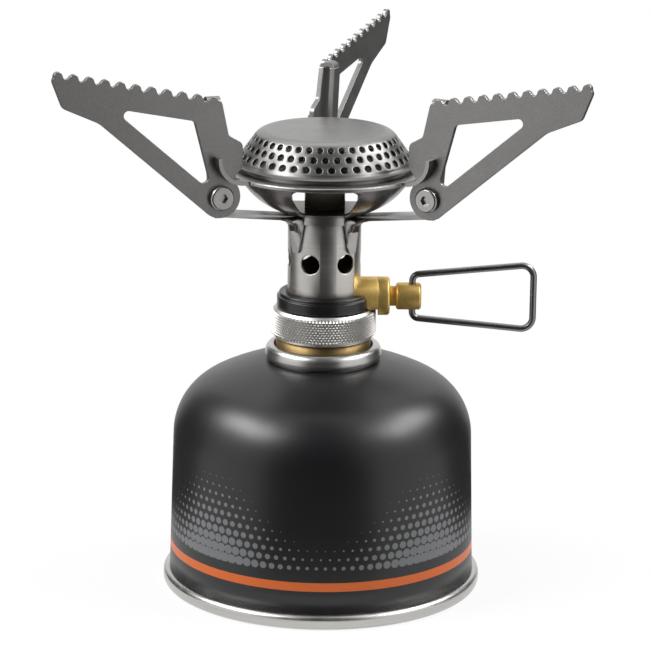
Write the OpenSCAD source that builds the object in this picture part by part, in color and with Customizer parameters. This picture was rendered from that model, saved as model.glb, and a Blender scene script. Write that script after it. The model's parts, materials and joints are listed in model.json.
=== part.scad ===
// Backpacking stove on a threaded fuel canister: a perforated burner head, three folding
// pot arms, a needle valve with a wire handle and a knurled coupling ring.
// Millimetres. Z is the canister's axis and z = 0 the surface that it stands on.
// +X is the side of the valve handle, and the front is towards -Y.

/* [Canister] */
// Radius of the can's wall just above its base rim
can_r = 52.8; // [48:0.1:60]
// How much the wall draws in from the rim up to the shoulder
wall_taper = 1.3; // [0:0.1:3]
// Height at which the wall turns into the shoulder
shoulder_z = 53.2; // [40:0.2:90]
// Radius of the shoulder's bend
shoulder_round = 22; // [14:0.5:28]
// Radius of the shallow crown above the shoulder
crown_round = 89; // [80:1:120]
// Thickness of the can's sheet
can_t = 0.7; // [0.5:0.1:1.2]
// How far the base rim stands out from the wall
rim_out = 2.2; // [2:0.1:4]
// Height of the rolled base rim
rim_h = 5.1; // [4:0.1:8]
// Radial width of the rolled base rim
rim_w = 4.2; // [4:0.1:7]
// Radius of the rim's outer edges
rim_round = 1.9; // [0.5:0.1:1.9]
// How far the bottom is domed up inside the rim
bottom_dome = 6.5; // [3:0.5:12]

/* [Canister valve] */
// Height of the rolled collar of the valve cup above the crown's flat land
cup_h = 5.6; // [4:0.1:8]
// Width of the collar at its foot
cup_wall = 3.1; // [2.2:0.1:5]
// How much the collar draws in from foot to top
cup_taper = 1.1; // [0:0.1:1.4]
// Thickness of the cup's floor
cup_floor_t = 1; // [0.6:0.1:1.4]
// Radius over the thread of the nipple
thread_r = 5.55; // [5:0.05:6]
// Height of the nipple above the cup's floor
nipple_h = 7.9; // [6:0.1:8.2]
// Radius of the gas bore through the nipple
nipple_bore_r = 2; // [1.7:0.1:2.6]
// Radius of the valve stem
stem_r = 1.35; // [1:0.05:1.45]
// How far the stem is pressed down by the stove
stem_press = 1; // [0.6:0.1:2]
// Length of the plastic valve housing inside the can
housing_l = 14; // [12:0.5:24]
// Turns of the valve spring
spring_turns = 6; // [4:1:9]
// Radius of the valve spring's wire
spring_wire_r = 0.4; // [0.25:0.05:0.5]

/* [Coupling] */
// Radius of the brass insert's flange
insert_r = 16.3; // [14:0.1:19]
// Height of the brass flange that shows between the cup and the knurled ring
insert_band_h = 2.7; // [2:0.1:5]
// Radius of the brass sleeve inside the knurled ring
sleeve_r = 11; // [10:0.1:13]
// How far the knurled ring stands out from the brass flange
ring_out = 1.6; // [0.6:0.1:3]
// Height of the knurled ring
ring_h = 10.2; // [9.5:0.1:14]
// Chamfer on the ring's edges
ring_edge = 0.9; // [0.3:0.1:1.5]
// Height of the ring's inner lip that carries the stove
lip_h = 3.2; // [2:0.1:3.8]
// Radius of the stove's spigot inside that lip
spigot_r = 6; // [5:0.1:6.6]
// How far the spigot's flange reaches under the lip
spigot_grip = 1.4; // [1:0.1:2]

/* [Needle valve] */
// Wall of the boss below the gland nut's thread
boss_floor = 0.5; // [0.4:0.1:1.5]
// Radius of the brass boss and of the gland nut at its end
boss_r = 6.6; // [6:0.1:7.5]
// Length of the gland nut's head
gland_l = 4; // [3:0.1:7]
// Length of the gland nut's thread inside the boss
gland_thread_l = 4.4; // [3:0.1:5]
// Radius of the gland nut's thread
gland_thread_r = 3; // [2.8:0.1:3.6]
// Radius of the spindle's shaft
shaft_r = 1.8; // [1.5:0.1:2.2]
// Radius of the spindle's neck outside the gland nut
neck_r = 3.45; // [3:0.05:4.2]
// Length of the neck
neck_l = 2; // [1:0.1:5]
// Radius of the spindle's head
head_r = 4.65; // [4.3:0.05:6]
// Length of the spindle's head
head_l = 8.6; // [7:0.1:14]
// Distance from the head's outer end to the cross hole for the handle
cross_hole_in = 3; // [2:0.1:4]
// Radius of the jet's thread
jet_r = 2.6; // [2:0.1:3]
// Height of the jet above the valve body
jet_h = 6; // [4:0.2:7]

/* [Wire handle] */
// Radius of the handle's wire
wire_r = 1.15; // [0.8:0.05:1.4]
// Length from the cross hole to the middle of the outer bar
handle_l = 41.4; // [25:0.2:70]
// Half height of the loop at the spindle
handle_in_h = 7.6; // [7:0.1:10]
// Half height of the loop at its outer bar
handle_out_h = 12; // [10:0.1:18]
// Radius of the bends beside the spindle
handle_in_bend = 2.4; // [1.6:0.1:3]
// Radius of the outer bends
handle_out_bend = 4; // [2:0.1:8]

/* [Mixing tube] */
// Radius of the black heat collar
collar_r = 16.1; // [15:0.1:20]
// Height of the heat collar
collar_h = 5.1; // [4.6:0.1:7]
// Radius of the mixing tube
tube_r = 12.5; // [12:0.1:13.5]
// Wall of the mixing tube
tube_t = 1; // [0.6:0.1:1.2]
// Depth to which the tube sits in the heat collar
tube_seat = 2.5; // [1.5:0.1:3]
// Length of the mixing tube
tube_l = 28.4; // [26:0.2:45]
// Number of air holes around the tube
air_hole_n = 6; // [4:1:7]
// Radius of an air hole
air_hole_r = 3.3; // [2:0.1:3.8]
// Height of the air holes above the top of the heat collar
air_hole_up = 11.8; // [11:0.1:14]
// Turn of the first air hole from the valve's side
air_hole_turn = 7; // [0:1:60]

/* [Burner] */
// How far the bracket's hub stands out from the tube
hub_out = 1.65; // [0.8:0.05:3]
// Height of the bracket's hub
hub_h = 2.8; // [2.2:0.1:5]
// Radius of the centre column above the bowl's floor
column_r = 6.9; // [6:0.05:7.2]
// Radius of the column's neck, which passes the hub and the bowl's floor
column_neck_r = 5.75; // [4.5:0.05:6.5]
// Wall of the centre column
column_t = 1.2; // [0.8:0.1:2]
// Radius of the bowl where it leaves the hub
bowl_foot_r = 15; // [14:0.1:17]
// Radius of the bowl under its brim
bowl_top_r = 31; // [30:0.1:32.5]
// Height of the bowl with its brim
bowl_h = 14.8; // [13:0.1:20]
// Radius of the bowl's curve, seen from the side
bowl_round = 29; // [22:0.5:60]
// Thickness of the bowl's sheet
bowl_t = 1; // [0.7:0.1:1.6]
// Radius of the brim
brim_r = 35.2; // [34:0.1:38]
// Thickness of the rolled brim
brim_t = 1.5; // [1.2:0.1:2]
// Half width of a bowl window at its top
window_top_w = 12.3; // [8:0.1:13]
// Half width of a bowl window at its bottom, but for the rear one
window_foot_w = 8; // [5:0.1:9]
// Radius to which the brim's tongues curl up beside the arms
tongue_round = 8.4; // [7:0.1:9]
// Width of the tongues
tongue_w = 4; // [3:0.1:5]
// Thickness of the burner plate under the cap
plate_t = 0.8; // [0.6:0.1:1.2]
// Radius of the cap's lip
cap_lip_r = 31; // [30:0.1:33]
// Height of the cap
cap_h = 12; // [11:0.1:14]
// Radius of the corner at which the cap's side would meet its flat top
cap_top_r = 22.6; // [21.5:0.1:26]
// Radius of the bend between the cap's side and its top
cap_round = 5; // [3:0.1:7]
// Thickness of the cap's sheet
cap_t = 0.9; // [0.6:0.1:1.2]
// Flame holes in each row
flame_hole_n = 42; // [24:1:44]
// Radius of a flame hole
flame_hole_r = 1.15; // [0.6:0.05:1.25]
// Rise from one row of flame holes to the next
flame_row_rise = 2.9; // [2.6:0.1:3]

/* [Pot arms] */
// Directions of the bracket's three strips: right, rear and left
arm_turns = [-30, 90, 210]; // [-180:1:360]
// Which side of its ear each arm lies on, seen from above: -1 is clockwise
arm_sides = [-1, 1, 1]; // [-1:2:1]
// Turn of each ear and arm away from its strip's own direction
arm_skews = [0, -24, -7]; // [-30:1:30]
// How far each arm is lifted about its pivot from the even slope
arm_lifts = [0, -1.5, 0.9]; // [-1.5:0.1:1.5]
// Distance of the pivots outside the brim
pivot_out = 6.2; // [6:0.1:8]
// Distance of the pivots below the brim's underside
pivot_drop = 4.4; // [4.3:0.1:7]
// Thickness of an arm
arm_t = 1.8; // [1.2:0.1:2.5]
// Radius of the lobe around an arm's pivot
lobe_r = 7; // [6:0.1:7.1]
// Teeth along an arm's top edge
tooth_n = 11; // [9:1:12]
// Distance from tooth to tooth
tooth_pitch = 5.5; // [5.2:0.05:6]
// Height of a tooth
tooth_h = 2; // [1.6:0.05:2.2]
// Slope of the toothed edge, rising outwards
tooth_slope = 11.4; // [6:0.2:16]
// Innermost tooth's distance outside the pivot
tooth_in = 2.8; // [2:0.1:6]
// Innermost tooth's height above the pivot
tooth_up = 34.2; // [32:0.1:42]
// Depth of the toothed bar, from the tips down to the opening
bar_w = 9; // [7:0.1:11]
// Width of the lower strut
strut_w = 6.5; // [5:0.1:8]
// Slope of the lower strut
strut_slope = 40.4; // [36:0.2:44]
// Length of the nose's front edge
nose_l = 12.8; // [9:0.1:15]
// Width of the leg that is folded back from an arm's inner post
leg_w = 5; // [4:0.1:5.6]
// Thickness of the bracket's sheet
ear_t = 1.6; // [1.2:0.1:2.4]
// Width of the bracket's strips
strip_w = 7; // [5:0.1:8]
// How far a strip rises from the hub to the pad under its ear
strip_rise = 3; // [0:0.1:3.2]
// Directions of the tails that run down the tube
tail_turns = [-46, 90, 224]; // [-180:1:360]
// Radius of the pivot screws' shanks
screw_r = 2; // [1.5:0.1:2.5]
// Radius of the screws' button heads
screw_head_r = 4.15; // [3.5:0.05:5]
// Height of the button heads
screw_head_h = 2; // [1.8:0.1:3]
// Thickness of the washer between ear and arm
washer_t = 0.5; // [0.3:0.1:1]

/* [Hidden] */
$fn = 96;

// Clearances
fit = 0.05;
running_fit = 0.08;
face_gap = 0.15;
running_gap = 0.3;

// Canister
wall_top_r = can_r - wall_taper;
rim_r = can_r + rim_out;
rim_in_r = rim_r - rim_w;
shoulder_x = wall_top_r - shoulder_round;
crown_z = shoulder_z - sqrt(pow(crown_round - shoulder_round, 2) - pow(shoulder_x, 2));
crown_turn = atan2(shoulder_z - crown_z, shoulder_x);

// Valve cup on the flat land at the top of the crown
cup_gap = 0.6;
cup_in_r = insert_r + cup_gap;
cup_r = cup_in_r + cup_wall;
land_r = cup_r + cup_gap;
land_z = crown_z + sqrt(pow(crown_round, 2) - pow(land_r, 2));
cup_top = land_z + cup_h;
cup_seat = 0.4;
cup_floor_z = land_z + cup_seat;
cup_floor_top = cup_floor_z + cup_floor_t;
nipple_top = cup_floor_top + nipple_h;
nipple_flange_out = 2.4;
nipple_flange_r = thread_r + nipple_flange_out;
nipple_flange_t = 1.4;
gasket_t = 1.2;
gasket_z = cup_floor_z - nipple_flange_t - gasket_t;
housing_wall = 1.2;
housing_r = nipple_flange_r + housing_wall;
can_hole_gap = 2;
can_hole_r = housing_r + can_hole_gap;
housing_z = gasket_z - housing_l;
chamber_r = 3.8;
stem_collar_gap = 0.4;
stem_collar_r = chamber_r - stem_collar_gap;
stem_collar_t = 1;
stem_collar_z = gasket_z - stem_press - stem_collar_t;
stem_depth = 1.9;
stem_top = nipple_top - stem_depth;
spring_z = housing_z + housing_wall;

// Coupling, between the cup and the heat collar
insert_lift = 0.5;
insert_z = cup_floor_top + insert_lift;
ring_r = insert_r + ring_out;
ring_z = cup_top + insert_band_h;
ring_top = ring_z + ring_h;
lip_z = ring_top - lip_h;
spigot_flange_r = spigot_r + spigot_grip;
seal_h = 1.4;
spigot_z = nipple_top + seal_h;
insert_seat_z = spigot_z - running_gap;

// Needle valve
collar_z = ring_top + running_gap;
collar_top = collar_z + collar_h;
valve_z = collar_z + boss_floor + gland_thread_r;
tube_z = collar_top - tube_seat;
tube_top = tube_z + tube_l;
tube_in_r = tube_r - tube_t;
body_step = 1;
body_r = tube_in_r - body_step;
body_up = 5;
body_top = tube_z + body_up;
boss_out = 0.6;
boss_end = ring_r + boss_out;
packing_l = 1.9;
packing_x = boss_end - gland_thread_l - packing_l;
gas_bore_r = 1.8;
gland_end = boss_end + gland_l;
neck_x = gland_end + face_gap;
head_x = neck_x + neck_l;
head_end = head_x + head_l;
cross_hole_x = head_end - cross_hole_in;
handle_pin_in = 2;
handle_pin_step = 0.1;
handle_pin_r = wire_r - handle_pin_step;

// Burner
hub_r = tube_r + hub_out;
hub_top = tube_top + hub_h;
hub_spigot_h = 2.4;
bowl_z = hub_top;
brim_top = bowl_z + bowl_h;
brim_z = brim_top - brim_t;
plate_in = 1.4;
plate_r = cap_lip_r - plate_in;
ledge_w = 2.6;
ledge_r = plate_r - ledge_w;
cap_z = brim_top + plate_t;
cap_flare_in = 1.15;
cap_flare_r = cap_lip_r - cap_flare_in;
cap_flare_up = 2;
cap_slope = atan2(cap_flare_r - cap_top_r, cap_h - cap_flare_up);
first_row_up = 3.9;
bowl_chord = [bowl_top_r - bowl_foot_r, brim_z - bowl_z];
bowl_sag = sqrt(pow(bowl_round, 2) - pow(norm(bowl_chord) / 2, 2));
bowl_centre = [bowl_foot_r, bowl_z] + bowl_chord / 2
    + bowl_sag * [-bowl_chord.y, bowl_chord.x] / norm(bowl_chord);

// Pot arms, in the plane of an arm: first number outwards and second upwards from the pivot
pivot_r = brim_r + pivot_out;
pivot_z = brim_z - pivot_drop;
arm_y = ear_t / 2 + washer_t + face_gap / 2;
screw_head_y = arm_y + arm_t + face_gap / 2;
ear_r = 5;
pad_r = strip_w / 2;
pad_z = hub_top - ear_t + strip_rise;
pad_y = ear_t / 2 - pad_r;
pad_in = 2.5;
leg_y = ear_t / 2 + face_gap;
leg_end_y = leg_y + arm_t;
leg_lobe_r = 5;
leg_out = 2.5;
nut_y = leg_end_y + face_gap / 2;
nut_h = 2.4;
nut_r = screw_r * 2;
thread_over = 0.4;
tooth_dir = [cos(tooth_slope), sin(tooth_slope)];
first_tooth = [tooth_in, tooth_up];
last_tooth = first_tooth + (tooth_n - 1) * tooth_pitch * tooth_dir;
tooth_tip_r = 1.5;
tooth_root_r = 1.25;
edge_drop = 1;
nose_out = 3.3;
nose_lean = 68;
nose_slope = 24;
tip = last_tooth + nose_out * tooth_dir + edge_drop * [tooth_dir.y, -tooth_dir.x];
nose_low = tip - nose_l * [cos(nose_lean), sin(nose_lean)];
heel_in = 0.05;
heel = (lobe_r - heel_in) * [sin(strut_slope), -cos(strut_slope)];
inner_lean = 77.2;
inner_foot = [-2.5, 21];
bump = [-7.6, 18.1];
bump_foot = 9.6;
notch = [-5.3, 7.6];
elbow_round = 12;
post_foot = [5, 9.5];
post_lean = 74.6;

// Unit vector along v
function unit(v) = v / norm(v);

// Angle inside the corner at b, between its edges to a and c
function corner_angle(a, b, c) = acos(unit(a - b) * unit(c - b));

// Distance from the corner at b to the ends of an arc of radius r
function corner_trim(a, b, c, r) = r / tan(corner_angle(a, b, c) / 2);

// Centre of the arc of radius r that rounds the corner at b
function corner_centre(a, b, c, r) =
    b + unit(unit(a - b) + unit(c - b)) * r / sin(corner_angle(a, b, c) / 2);

// Crossing of the line through p at angle a and the line through q at angle b
function meet(p, a, q, b) =
    let (d = [cos(a), sin(a)], e = [cos(b), sin(b)])
    p + d * cross(q - p, e) / cross(d, e);

// Flat outline with rounded corners, counter-clockwise, each corner [x, y] or [x, y, radius].
// Each arc bites a hair into its edges, so that they cross and don't only touch.
module rounded(corners) {
    bite = 0.002;
    n = len(corners);
    p = [for (c = corners) [c.x, c.y]];
    r = [for (c = corners) len(c) > 2 ? c[2] : 0];
    before = [for (i = [0:n - 1]) p[(i + n - 1) % n]];
    after = [for (i = [0:n - 1]) p[(i + 1) % n]];
    trim = [for (i = [0:n - 1]) r[i] > 0 ? corner_trim(before[i], p[i], after[i], r[i]) : 0];
    flats = [
        for (i = [0:n - 1])
            each r[i] > 0
                ? [p[i] + unit(before[i] - p[i]) * trim[i], p[i] + unit(after[i] - p[i]) * trim[i]]
                : [p[i]]
    ];
    rounds = [for (i = [0:n - 1]) if (r[i] > 0) i];
    outward = [for (i = rounds) if (cross(p[i] - before[i], after[i] - p[i]) > 0) i];
    inward = [for (i = rounds) if (cross(p[i] - before[i], after[i] - p[i]) < 0) i];
    difference() {
        union() {
            polygon(flats);
            for (i = outward)
                translate(corner_centre(before[i], p[i], after[i], r[i])) circle(r[i] + bite);
        }
        for (i = inward)
            translate(corner_centre(before[i], p[i], after[i], r[i])) circle(r[i] + bite);
    }
}

// Turned piece from an outline in [radius, height]
module turned(corners) {
    rotate_extrude() rounded(corners);
}

// Plain ring from z to z + h
module tube_ring(r_in, r_out, z, h) {
    translate([0, 0, z])
        linear_extrude(h)
            difference() {
                circle(r_out);
                circle(r_in);
            }
}

// Copies around Z
module around(n, turn = 0) {
    for (i = [0:n - 1])
        rotate(turn + i * 360 / n) children();
}

// Cylinder along +X on the spindle's axis
module on_spindle(r, x_from, x_to) {
    translate([x_from, 0, valve_z])
        rotate([0, 90, 0])
            cylinder(r = r, h = x_to - x_from);
}

// Closed skin over rings of points, each ring clockwise about the way from ring to ring
module skin(rings) {
    sides = len(rings[0]);
    last = (len(rings) - 1) * sides;
    walls = [
        for (k = [0:len(rings) - 2], s = [0:sides - 1])
            let (a = k * sides + s, b = k * sides + (s + 1) % sides)
            each [[a, b, b + sides], [a, b + sides, a + sides]]
    ];
    ends = [
        for (s = [1:sides - 2])
            each [[0, s + 1, s], [last, last + s, last + s + 1]]
    ];
    polyhedron([for (ring = rings) each ring], concat(walls, ends));
}

// Part of a disc of radius r between two directions less than half a turn apart
module sector(r, from, to) {
    reach = 2 * r;
    middle = (from + to) / 2;
    intersection() {
        circle(r);
        polygon([
            [0, 0],
            reach * [cos(from), sin(from)],
            reach * [cos(middle), sin(middle)],
            reach * [cos(to), sin(to)]
        ]);
    }
}

// Filled half section of the can, drawn in by inset, from its foot to the land
module can_section(inset) {
    side = 2 * can_r;
    shoulder = [shoulder_x, shoulder_z];
    half_base = shoulder_round / 4;
    intersection() {
        union() {
            polygon([
                [0, rim_h],
                [can_r - inset, rim_h],
                [wall_top_r - inset, shoulder_z],
                [0, shoulder_z]
            ]);
            translate(shoulder)
                sector(shoulder_round - inset, 0, crown_turn);
            polygon([
                shoulder + [-half_base, 0],
                shoulder + [half_base, 0],
                shoulder + (shoulder_round - inset) * [cos(crown_turn), sin(crown_turn)]
            ]);
            difference() {
                translate([0, crown_z])
                    sector(crown_round - inset, crown_turn, 90);
                translate([-side / 2, shoulder_z - side])
                    square(side);
            }
        }
        square([side, land_z - inset]);
    }
}

module canister_shell() {
    color("#1d1d1f")
        rotate_extrude()
            difference() {
                can_section(0);
                can_section(can_t);
                square([can_hole_r, 2 * land_z]);
            }
}

module canister_base() {
    foot_up = 1.6;
    dome_round = (pow(rim_in_r, 2) + pow(bottom_dome, 2)) / (2 * bottom_dome);
    color("#b8b6b2")
        rotate_extrude() {
            rounded([
                [rim_in_r, 0, 1.2],
                [rim_r, 0, rim_round],
                [rim_r, rim_h, rim_round],
                [rim_in_r, rim_h, 0.6]
            ]);
            intersection() {
                translate([0, foot_up + bottom_dome - dome_round])
                    difference() {
                        circle(dome_round + can_t);
                        circle(dome_round);
                    }
                square([rim_in_r + can_t, 2 * bottom_dome + rim_h]);
            }
        }
}

module valve_cup() {
    foot_in_r = cup_in_r - 1;
    color("#c4c2bd")
        turned([
            [foot_in_r, land_z],
            [cup_r, land_z],
            [cup_r - cup_taper, cup_top, 0.8],
            [cup_in_r, cup_top, 0.7],
            [cup_in_r, cup_floor_top],
            [thread_r + fit, cup_floor_top],
            [thread_r + fit, cup_floor_z],
            [foot_in_r, cup_floor_z]
        ]);
}

module threaded_nipple() {
    flange_z = cup_floor_z - nipple_flange_t;
    color("#cfa24a")
        turned([
            [nipple_bore_r, flange_z],
            [nipple_flange_r, flange_z],
            [nipple_flange_r, cup_floor_z],
            [thread_r, cup_floor_z],
            [thread_r, nipple_top, 0.6],
            [nipple_bore_r, nipple_top]
        ]);
}

module valve_gasket() {
    color("#26262a")
        tube_ring(stem_r + fit, nipple_flange_r - fit, gasket_z, gasket_t);
}

module valve_housing() {
    color("#e4e2da")
        turned([
            [0, housing_z],
            [housing_r, housing_z, 1],
            [housing_r, cup_floor_z],
            [nipple_flange_r + fit, cup_floor_z],
            [nipple_flange_r + fit, gasket_z],
            [chamber_r, gasket_z],
            [chamber_r, spring_z],
            [0, spring_z]
        ]);
}

module valve_stem() {
    guide_l = 2.5;
    color("#d9d6cc")
        turned([
            [0, stem_collar_z - guide_l],
            [stem_r, stem_collar_z - guide_l, 0.4],
            [stem_r, stem_collar_z],
            [stem_collar_r, stem_collar_z],
            [stem_collar_r, stem_collar_z + stem_collar_t],
            [stem_r, stem_collar_z + stem_collar_t],
            [stem_r, stem_top],
            [0, stem_top]
        ]);
}

// One unbroken coil of round wire that stands between the housing's floor and the stem's collar
module valve_spring() {
    sides = 6;
    steps = 12 * spring_turns;
    coil_r = stem_r + 0.5 + spring_wire_r;
    z_from = spring_z + spring_wire_r;
    z_to = stem_collar_z - spring_wire_r;
    coil_gap = (z_to - z_from) / spring_turns - 2 * spring_wire_r;
    echo(spring_coil_gap = coil_gap);
    color("#a9adb2")
        skin([
            for (k = [0:steps])
                let (turn = 360 * spring_turns * k / steps, z = z_from + (z_to - z_from) * k / steps)
                [
                    for (s = [0:sides - 1])
                        let (a = 360 * s / sides, r = coil_r + spring_wire_r * cos(a))
                        [r * cos(turn), r * sin(turn), z + spring_wire_r * sin(a)]
                ]
        ]);
}

// Threaded insert that is pressed into the knurled ring and turns with it
module brass_insert() {
    color("#c79a45")
        turned([
            [thread_r + fit, insert_z],
            [insert_r, insert_z, 0.5],
            [insert_r, ring_z],
            [sleeve_r - fit / 2, ring_z],
            [sleeve_r - fit / 2, lip_z],
            [spigot_flange_r + fit * 4, lip_z],
            [spigot_flange_r + fit * 4, insert_seat_z],
            [thread_r + fit, insert_seat_z]
        ]);
}

module knurled_ring() {
    color("#c9c9c7")
        turned([
            [sleeve_r, ring_z],
            [ring_r - ring_edge, ring_z],
            [ring_r, ring_z + ring_edge],
            [ring_r, ring_top - ring_edge],
            [ring_r - ring_edge, ring_top],
            [spigot_r + running_fit, ring_top],
            [spigot_r + running_fit, lip_z],
            [sleeve_r, lip_z]
        ]);
}

// Valve body: the spigot in the coupling, the round body in the tube and the boss for the spindle
module valve_body() {
    passage_r = 1.1;
    jet_seat = 3;
    flange_top = lip_z - running_gap;
    color("#c79a45")
        difference() {
            union() {
                turned([
                    [0, spigot_z],
                    [spigot_flange_r, spigot_z],
                    [spigot_flange_r, flange_top],
                    [spigot_r, flange_top],
                    [spigot_r, collar_z],
                    [body_r, collar_z],
                    [body_r, tube_z],
                    [tube_in_r - fit, tube_z],
                    [tube_in_r - fit, body_top, 0.8],
                    [0, body_top]
                ]);
                difference() {
                    on_spindle(boss_r, body_r / 2, boss_end);
                    cylinder(r = 2 * boss_end, h = collar_z);
                }
            }
            on_spindle(shaft_r + fit, 1, packing_x);
            on_spindle(gland_thread_r + fit, packing_x, boss_end + 1);
            translate([0, 0, spigot_z - 1])
                cylinder(r = gas_bore_r, h = valve_z - spigot_z + 1);
            translate([0, 0, valve_z])
                cylinder(r = passage_r, h = body_top - valve_z);
            translate([0, 0, body_top - jet_seat])
                cylinder(r = jet_r + fit, h = jet_seat + 1);
        }
}

module canister_seal() {
    lift = fit;
    color("#202022")
        turned([
            [gas_bore_r + 1, nipple_top + lift, 0.4],
            [thread_r - 0.4, nipple_top + lift, 0.4],
            [thread_r - 0.4, spigot_z],
            [gas_bore_r + 1, spigot_z]
        ]);
}

// Pin that opens the canister's valve, held in the gas bore by four thin wings
module depressor_pin() {
    pin_r = 0.9;
    wing_t = 0.7;
    wing_h = 3;
    wing_z = spigot_z + 0.4;
    color("#c79a45")
        union() {
            translate([0, 0, stem_top + fit])
                cylinder(r = pin_r, h = wing_z + wing_h - stem_top - fit);
            translate([0, 0, wing_z])
                linear_extrude(wing_h)
                    intersection() {
                        circle(gas_bore_r - fit / 2);
                        union() {
                            square([2 * gas_bore_r, wing_t], center = true);
                            square([wing_t, 2 * gas_bore_r], center = true);
                        }
                    }
        }
}

module jet() {
    hex_r = 4;
    hex_h = 2.4;
    thread_l = 2.8;
    bore_r = 1.1;
    orifice_r = 0.3;
    color("#d2ab58")
        difference() {
            union() {
                translate([0, 0, body_top - thread_l])
                    cylinder(r = jet_r, h = thread_l);
                translate([0, 0, body_top])
                    cylinder(r = hex_r, h = hex_h, $fn = 6);
                translate([0, 0, body_top + hex_h])
                    cylinder(r1 = jet_r, r2 = jet_r / 2, h = jet_h - hex_h);
            }
            translate([0, 0, body_top - thread_l - 1])
                cylinder(r = bore_r, h = thread_l + jet_h - 0.5);
            translate([0, 0, body_top])
                cylinder(r = orifice_r, h = jet_h + 1);
        }
}

module packing_ring() {
    color("#2a2a2c")
        difference() {
            on_spindle(gland_thread_r, packing_x + fit, packing_x + packing_l);
            on_spindle(shaft_r + fit, packing_x, boss_end);
        }
}

module gland_nut() {
    edge = 0.6;
    color("#c79a45")
        translate([boss_end, 0, valve_z])
            rotate([0, 90, 0])
                turned([
                    [shaft_r + fit, -gland_thread_l],
                    [gland_thread_r, -gland_thread_l],
                    [gland_thread_r, 0],
                    [boss_r, 0],
                    [boss_r, gland_l - edge],
                    [boss_r - edge, gland_l],
                    [shaft_r + fit, gland_l]
                ]);
}

module valve_spindle() {
    needle_x = 1.4;
    needle_l = 3.2;
    edge = 0.6;
    color("#c08f3c")
        difference() {
            translate([0, 0, valve_z])
                rotate([0, 90, 0])
                    turned([
                        [0, needle_x],
                        [0.4, needle_x],
                        [shaft_r, needle_x + needle_l],
                        [shaft_r, neck_x],
                        [neck_r, neck_x],
                        [neck_r, head_x],
                        [head_r - edge, head_x],
                        [head_r, head_x + edge],
                        [head_r, head_end - edge],
                        [head_r - edge, head_end],
                        [0, head_end]
                    ]);
            translate([cross_hole_x, 0, valve_z - 2 * head_r])
                cylinder(r = handle_pin_r + running_fit, h = 4 * head_r);
        }
}

// Stations [x, z, heading] along a path in the X-Z plane that only turns left, with corners
// [x, z, bend radius] between its two ends
function bent_path(corners, steps) =
    let (
        p = [for (c = corners) [c.x, c.y]],
        n = len(p),
        way = [for (i = [0:n - 2]) atan2(p[i + 1].y - p[i].y, p[i + 1].x - p[i].x)]
    )
    concat(
        [[p[0].x, p[0].y, way[0]]],
        [
            for (i = [1:n - 2], k = [0:steps])
                let (
                    bend_r = corners[i][2],
                    centre = corner_centre(p[i - 1], p[i], p[i + 1], bend_r),
                    sweep = 180 - corner_angle(p[i - 1], p[i], p[i + 1]),
                    heading = way[i - 1] + sweep * k / steps
                )
                [centre.x + bend_r * sin(heading), centre.y - bend_r * cos(heading), heading]
        ],
        [[p[n - 1].x, p[n - 1].y, way[n - 2]]]
    );

// Bent wire loop whose turned-down ends sit in the spindle's cross hole
module wire_handle() {
    sides = 16;
    bend_steps = 6;
    outer_x = cross_hole_x + handle_l;
    end_h = head_r + face_gap;
    path = bent_path([
        [cross_hole_x, -end_h],
        [cross_hole_x, -handle_in_h, handle_in_bend],
        [outer_x, -handle_out_h, handle_out_bend],
        [outer_x, handle_out_h, handle_out_bend],
        [cross_hole_x, handle_in_h, handle_in_bend],
        [cross_hole_x, end_h]
    ], bend_steps);
    color("#c3c3c2")
        translate([0, 0, valve_z]) {
            skin([
                for (station = path)
                    let (heading = station[2])
                    [
                        for (k = [0:sides - 1])
                            let (a = 360 * k / sides, in_plane = wire_r * cos(a))
                            [
                                station.x - in_plane * sin(heading),
                                wire_r * sin(a),
                                station.y + in_plane * cos(heading)
                            ]
                    ]
            ]);
            for (end = [0, 1])
                mirror([0, 0, end])
                    translate([cross_hole_x, 0, handle_pin_in])
                        cylinder(r = handle_pin_r, h = handle_in_h - handle_in_bend - handle_pin_in);
        }
}

module heat_collar() {
    lip_r = collar_r - 0.7;
    color("#232325")
        difference() {
            turned([
                [body_r + fit, collar_z],
                [collar_r, collar_z, 0.6],
                [collar_r, collar_top - 1.4, 0.4],
                [lip_r, collar_top - 1.1, 0.3],
                [lip_r, collar_top, 0.5],
                [tube_r + fit, collar_top],
                [tube_r + fit, tube_z],
                [body_r + fit, tube_z]
            ]);
            on_spindle(boss_r + fit * 2, 0, 2 * collar_r);
        }
}

module mixing_tube() {
    hole_z = collar_top + air_hole_up;
    color("#b5b3ae")
        difference() {
            tube_ring(tube_in_r, tube_r, tube_z, tube_l);
            on_spindle(boss_r + fit * 2, 0, 2 * tube_r);
            around(air_hole_n, air_hole_turn)
                translate([tube_r / 2, 0, hole_z])
                    rotate([0, 90, 0])
                        cylinder(r = air_hole_r, h = tube_r);
        }
}

// Frame of arm i: X outwards along the arm, Y to the arm's side of its ear, Z up from the pivot
module at_arm(i) {
    rotate(arm_turns[i])
        translate([pivot_r, 0, pivot_z])
            rotate(arm_skews[i])
                mirror([0, arm_sides[i] < 0 ? 1 : 0, 0])
                    children();
}

// Flat piece of thickness t that stands in an arm's plane, from y outwards
module upright(y, t) {
    translate([0, y + t, 0])
        rotate([90, 0, 0])
            linear_extrude(t) children();
}

// Round piece across an arm's plane
module across(r, y_from, y_to) {
    translate([0, y_from, 0])
        rotate([-90, 0, 0])
            cylinder(r = r, h = y_to - y_from);
}

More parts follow.
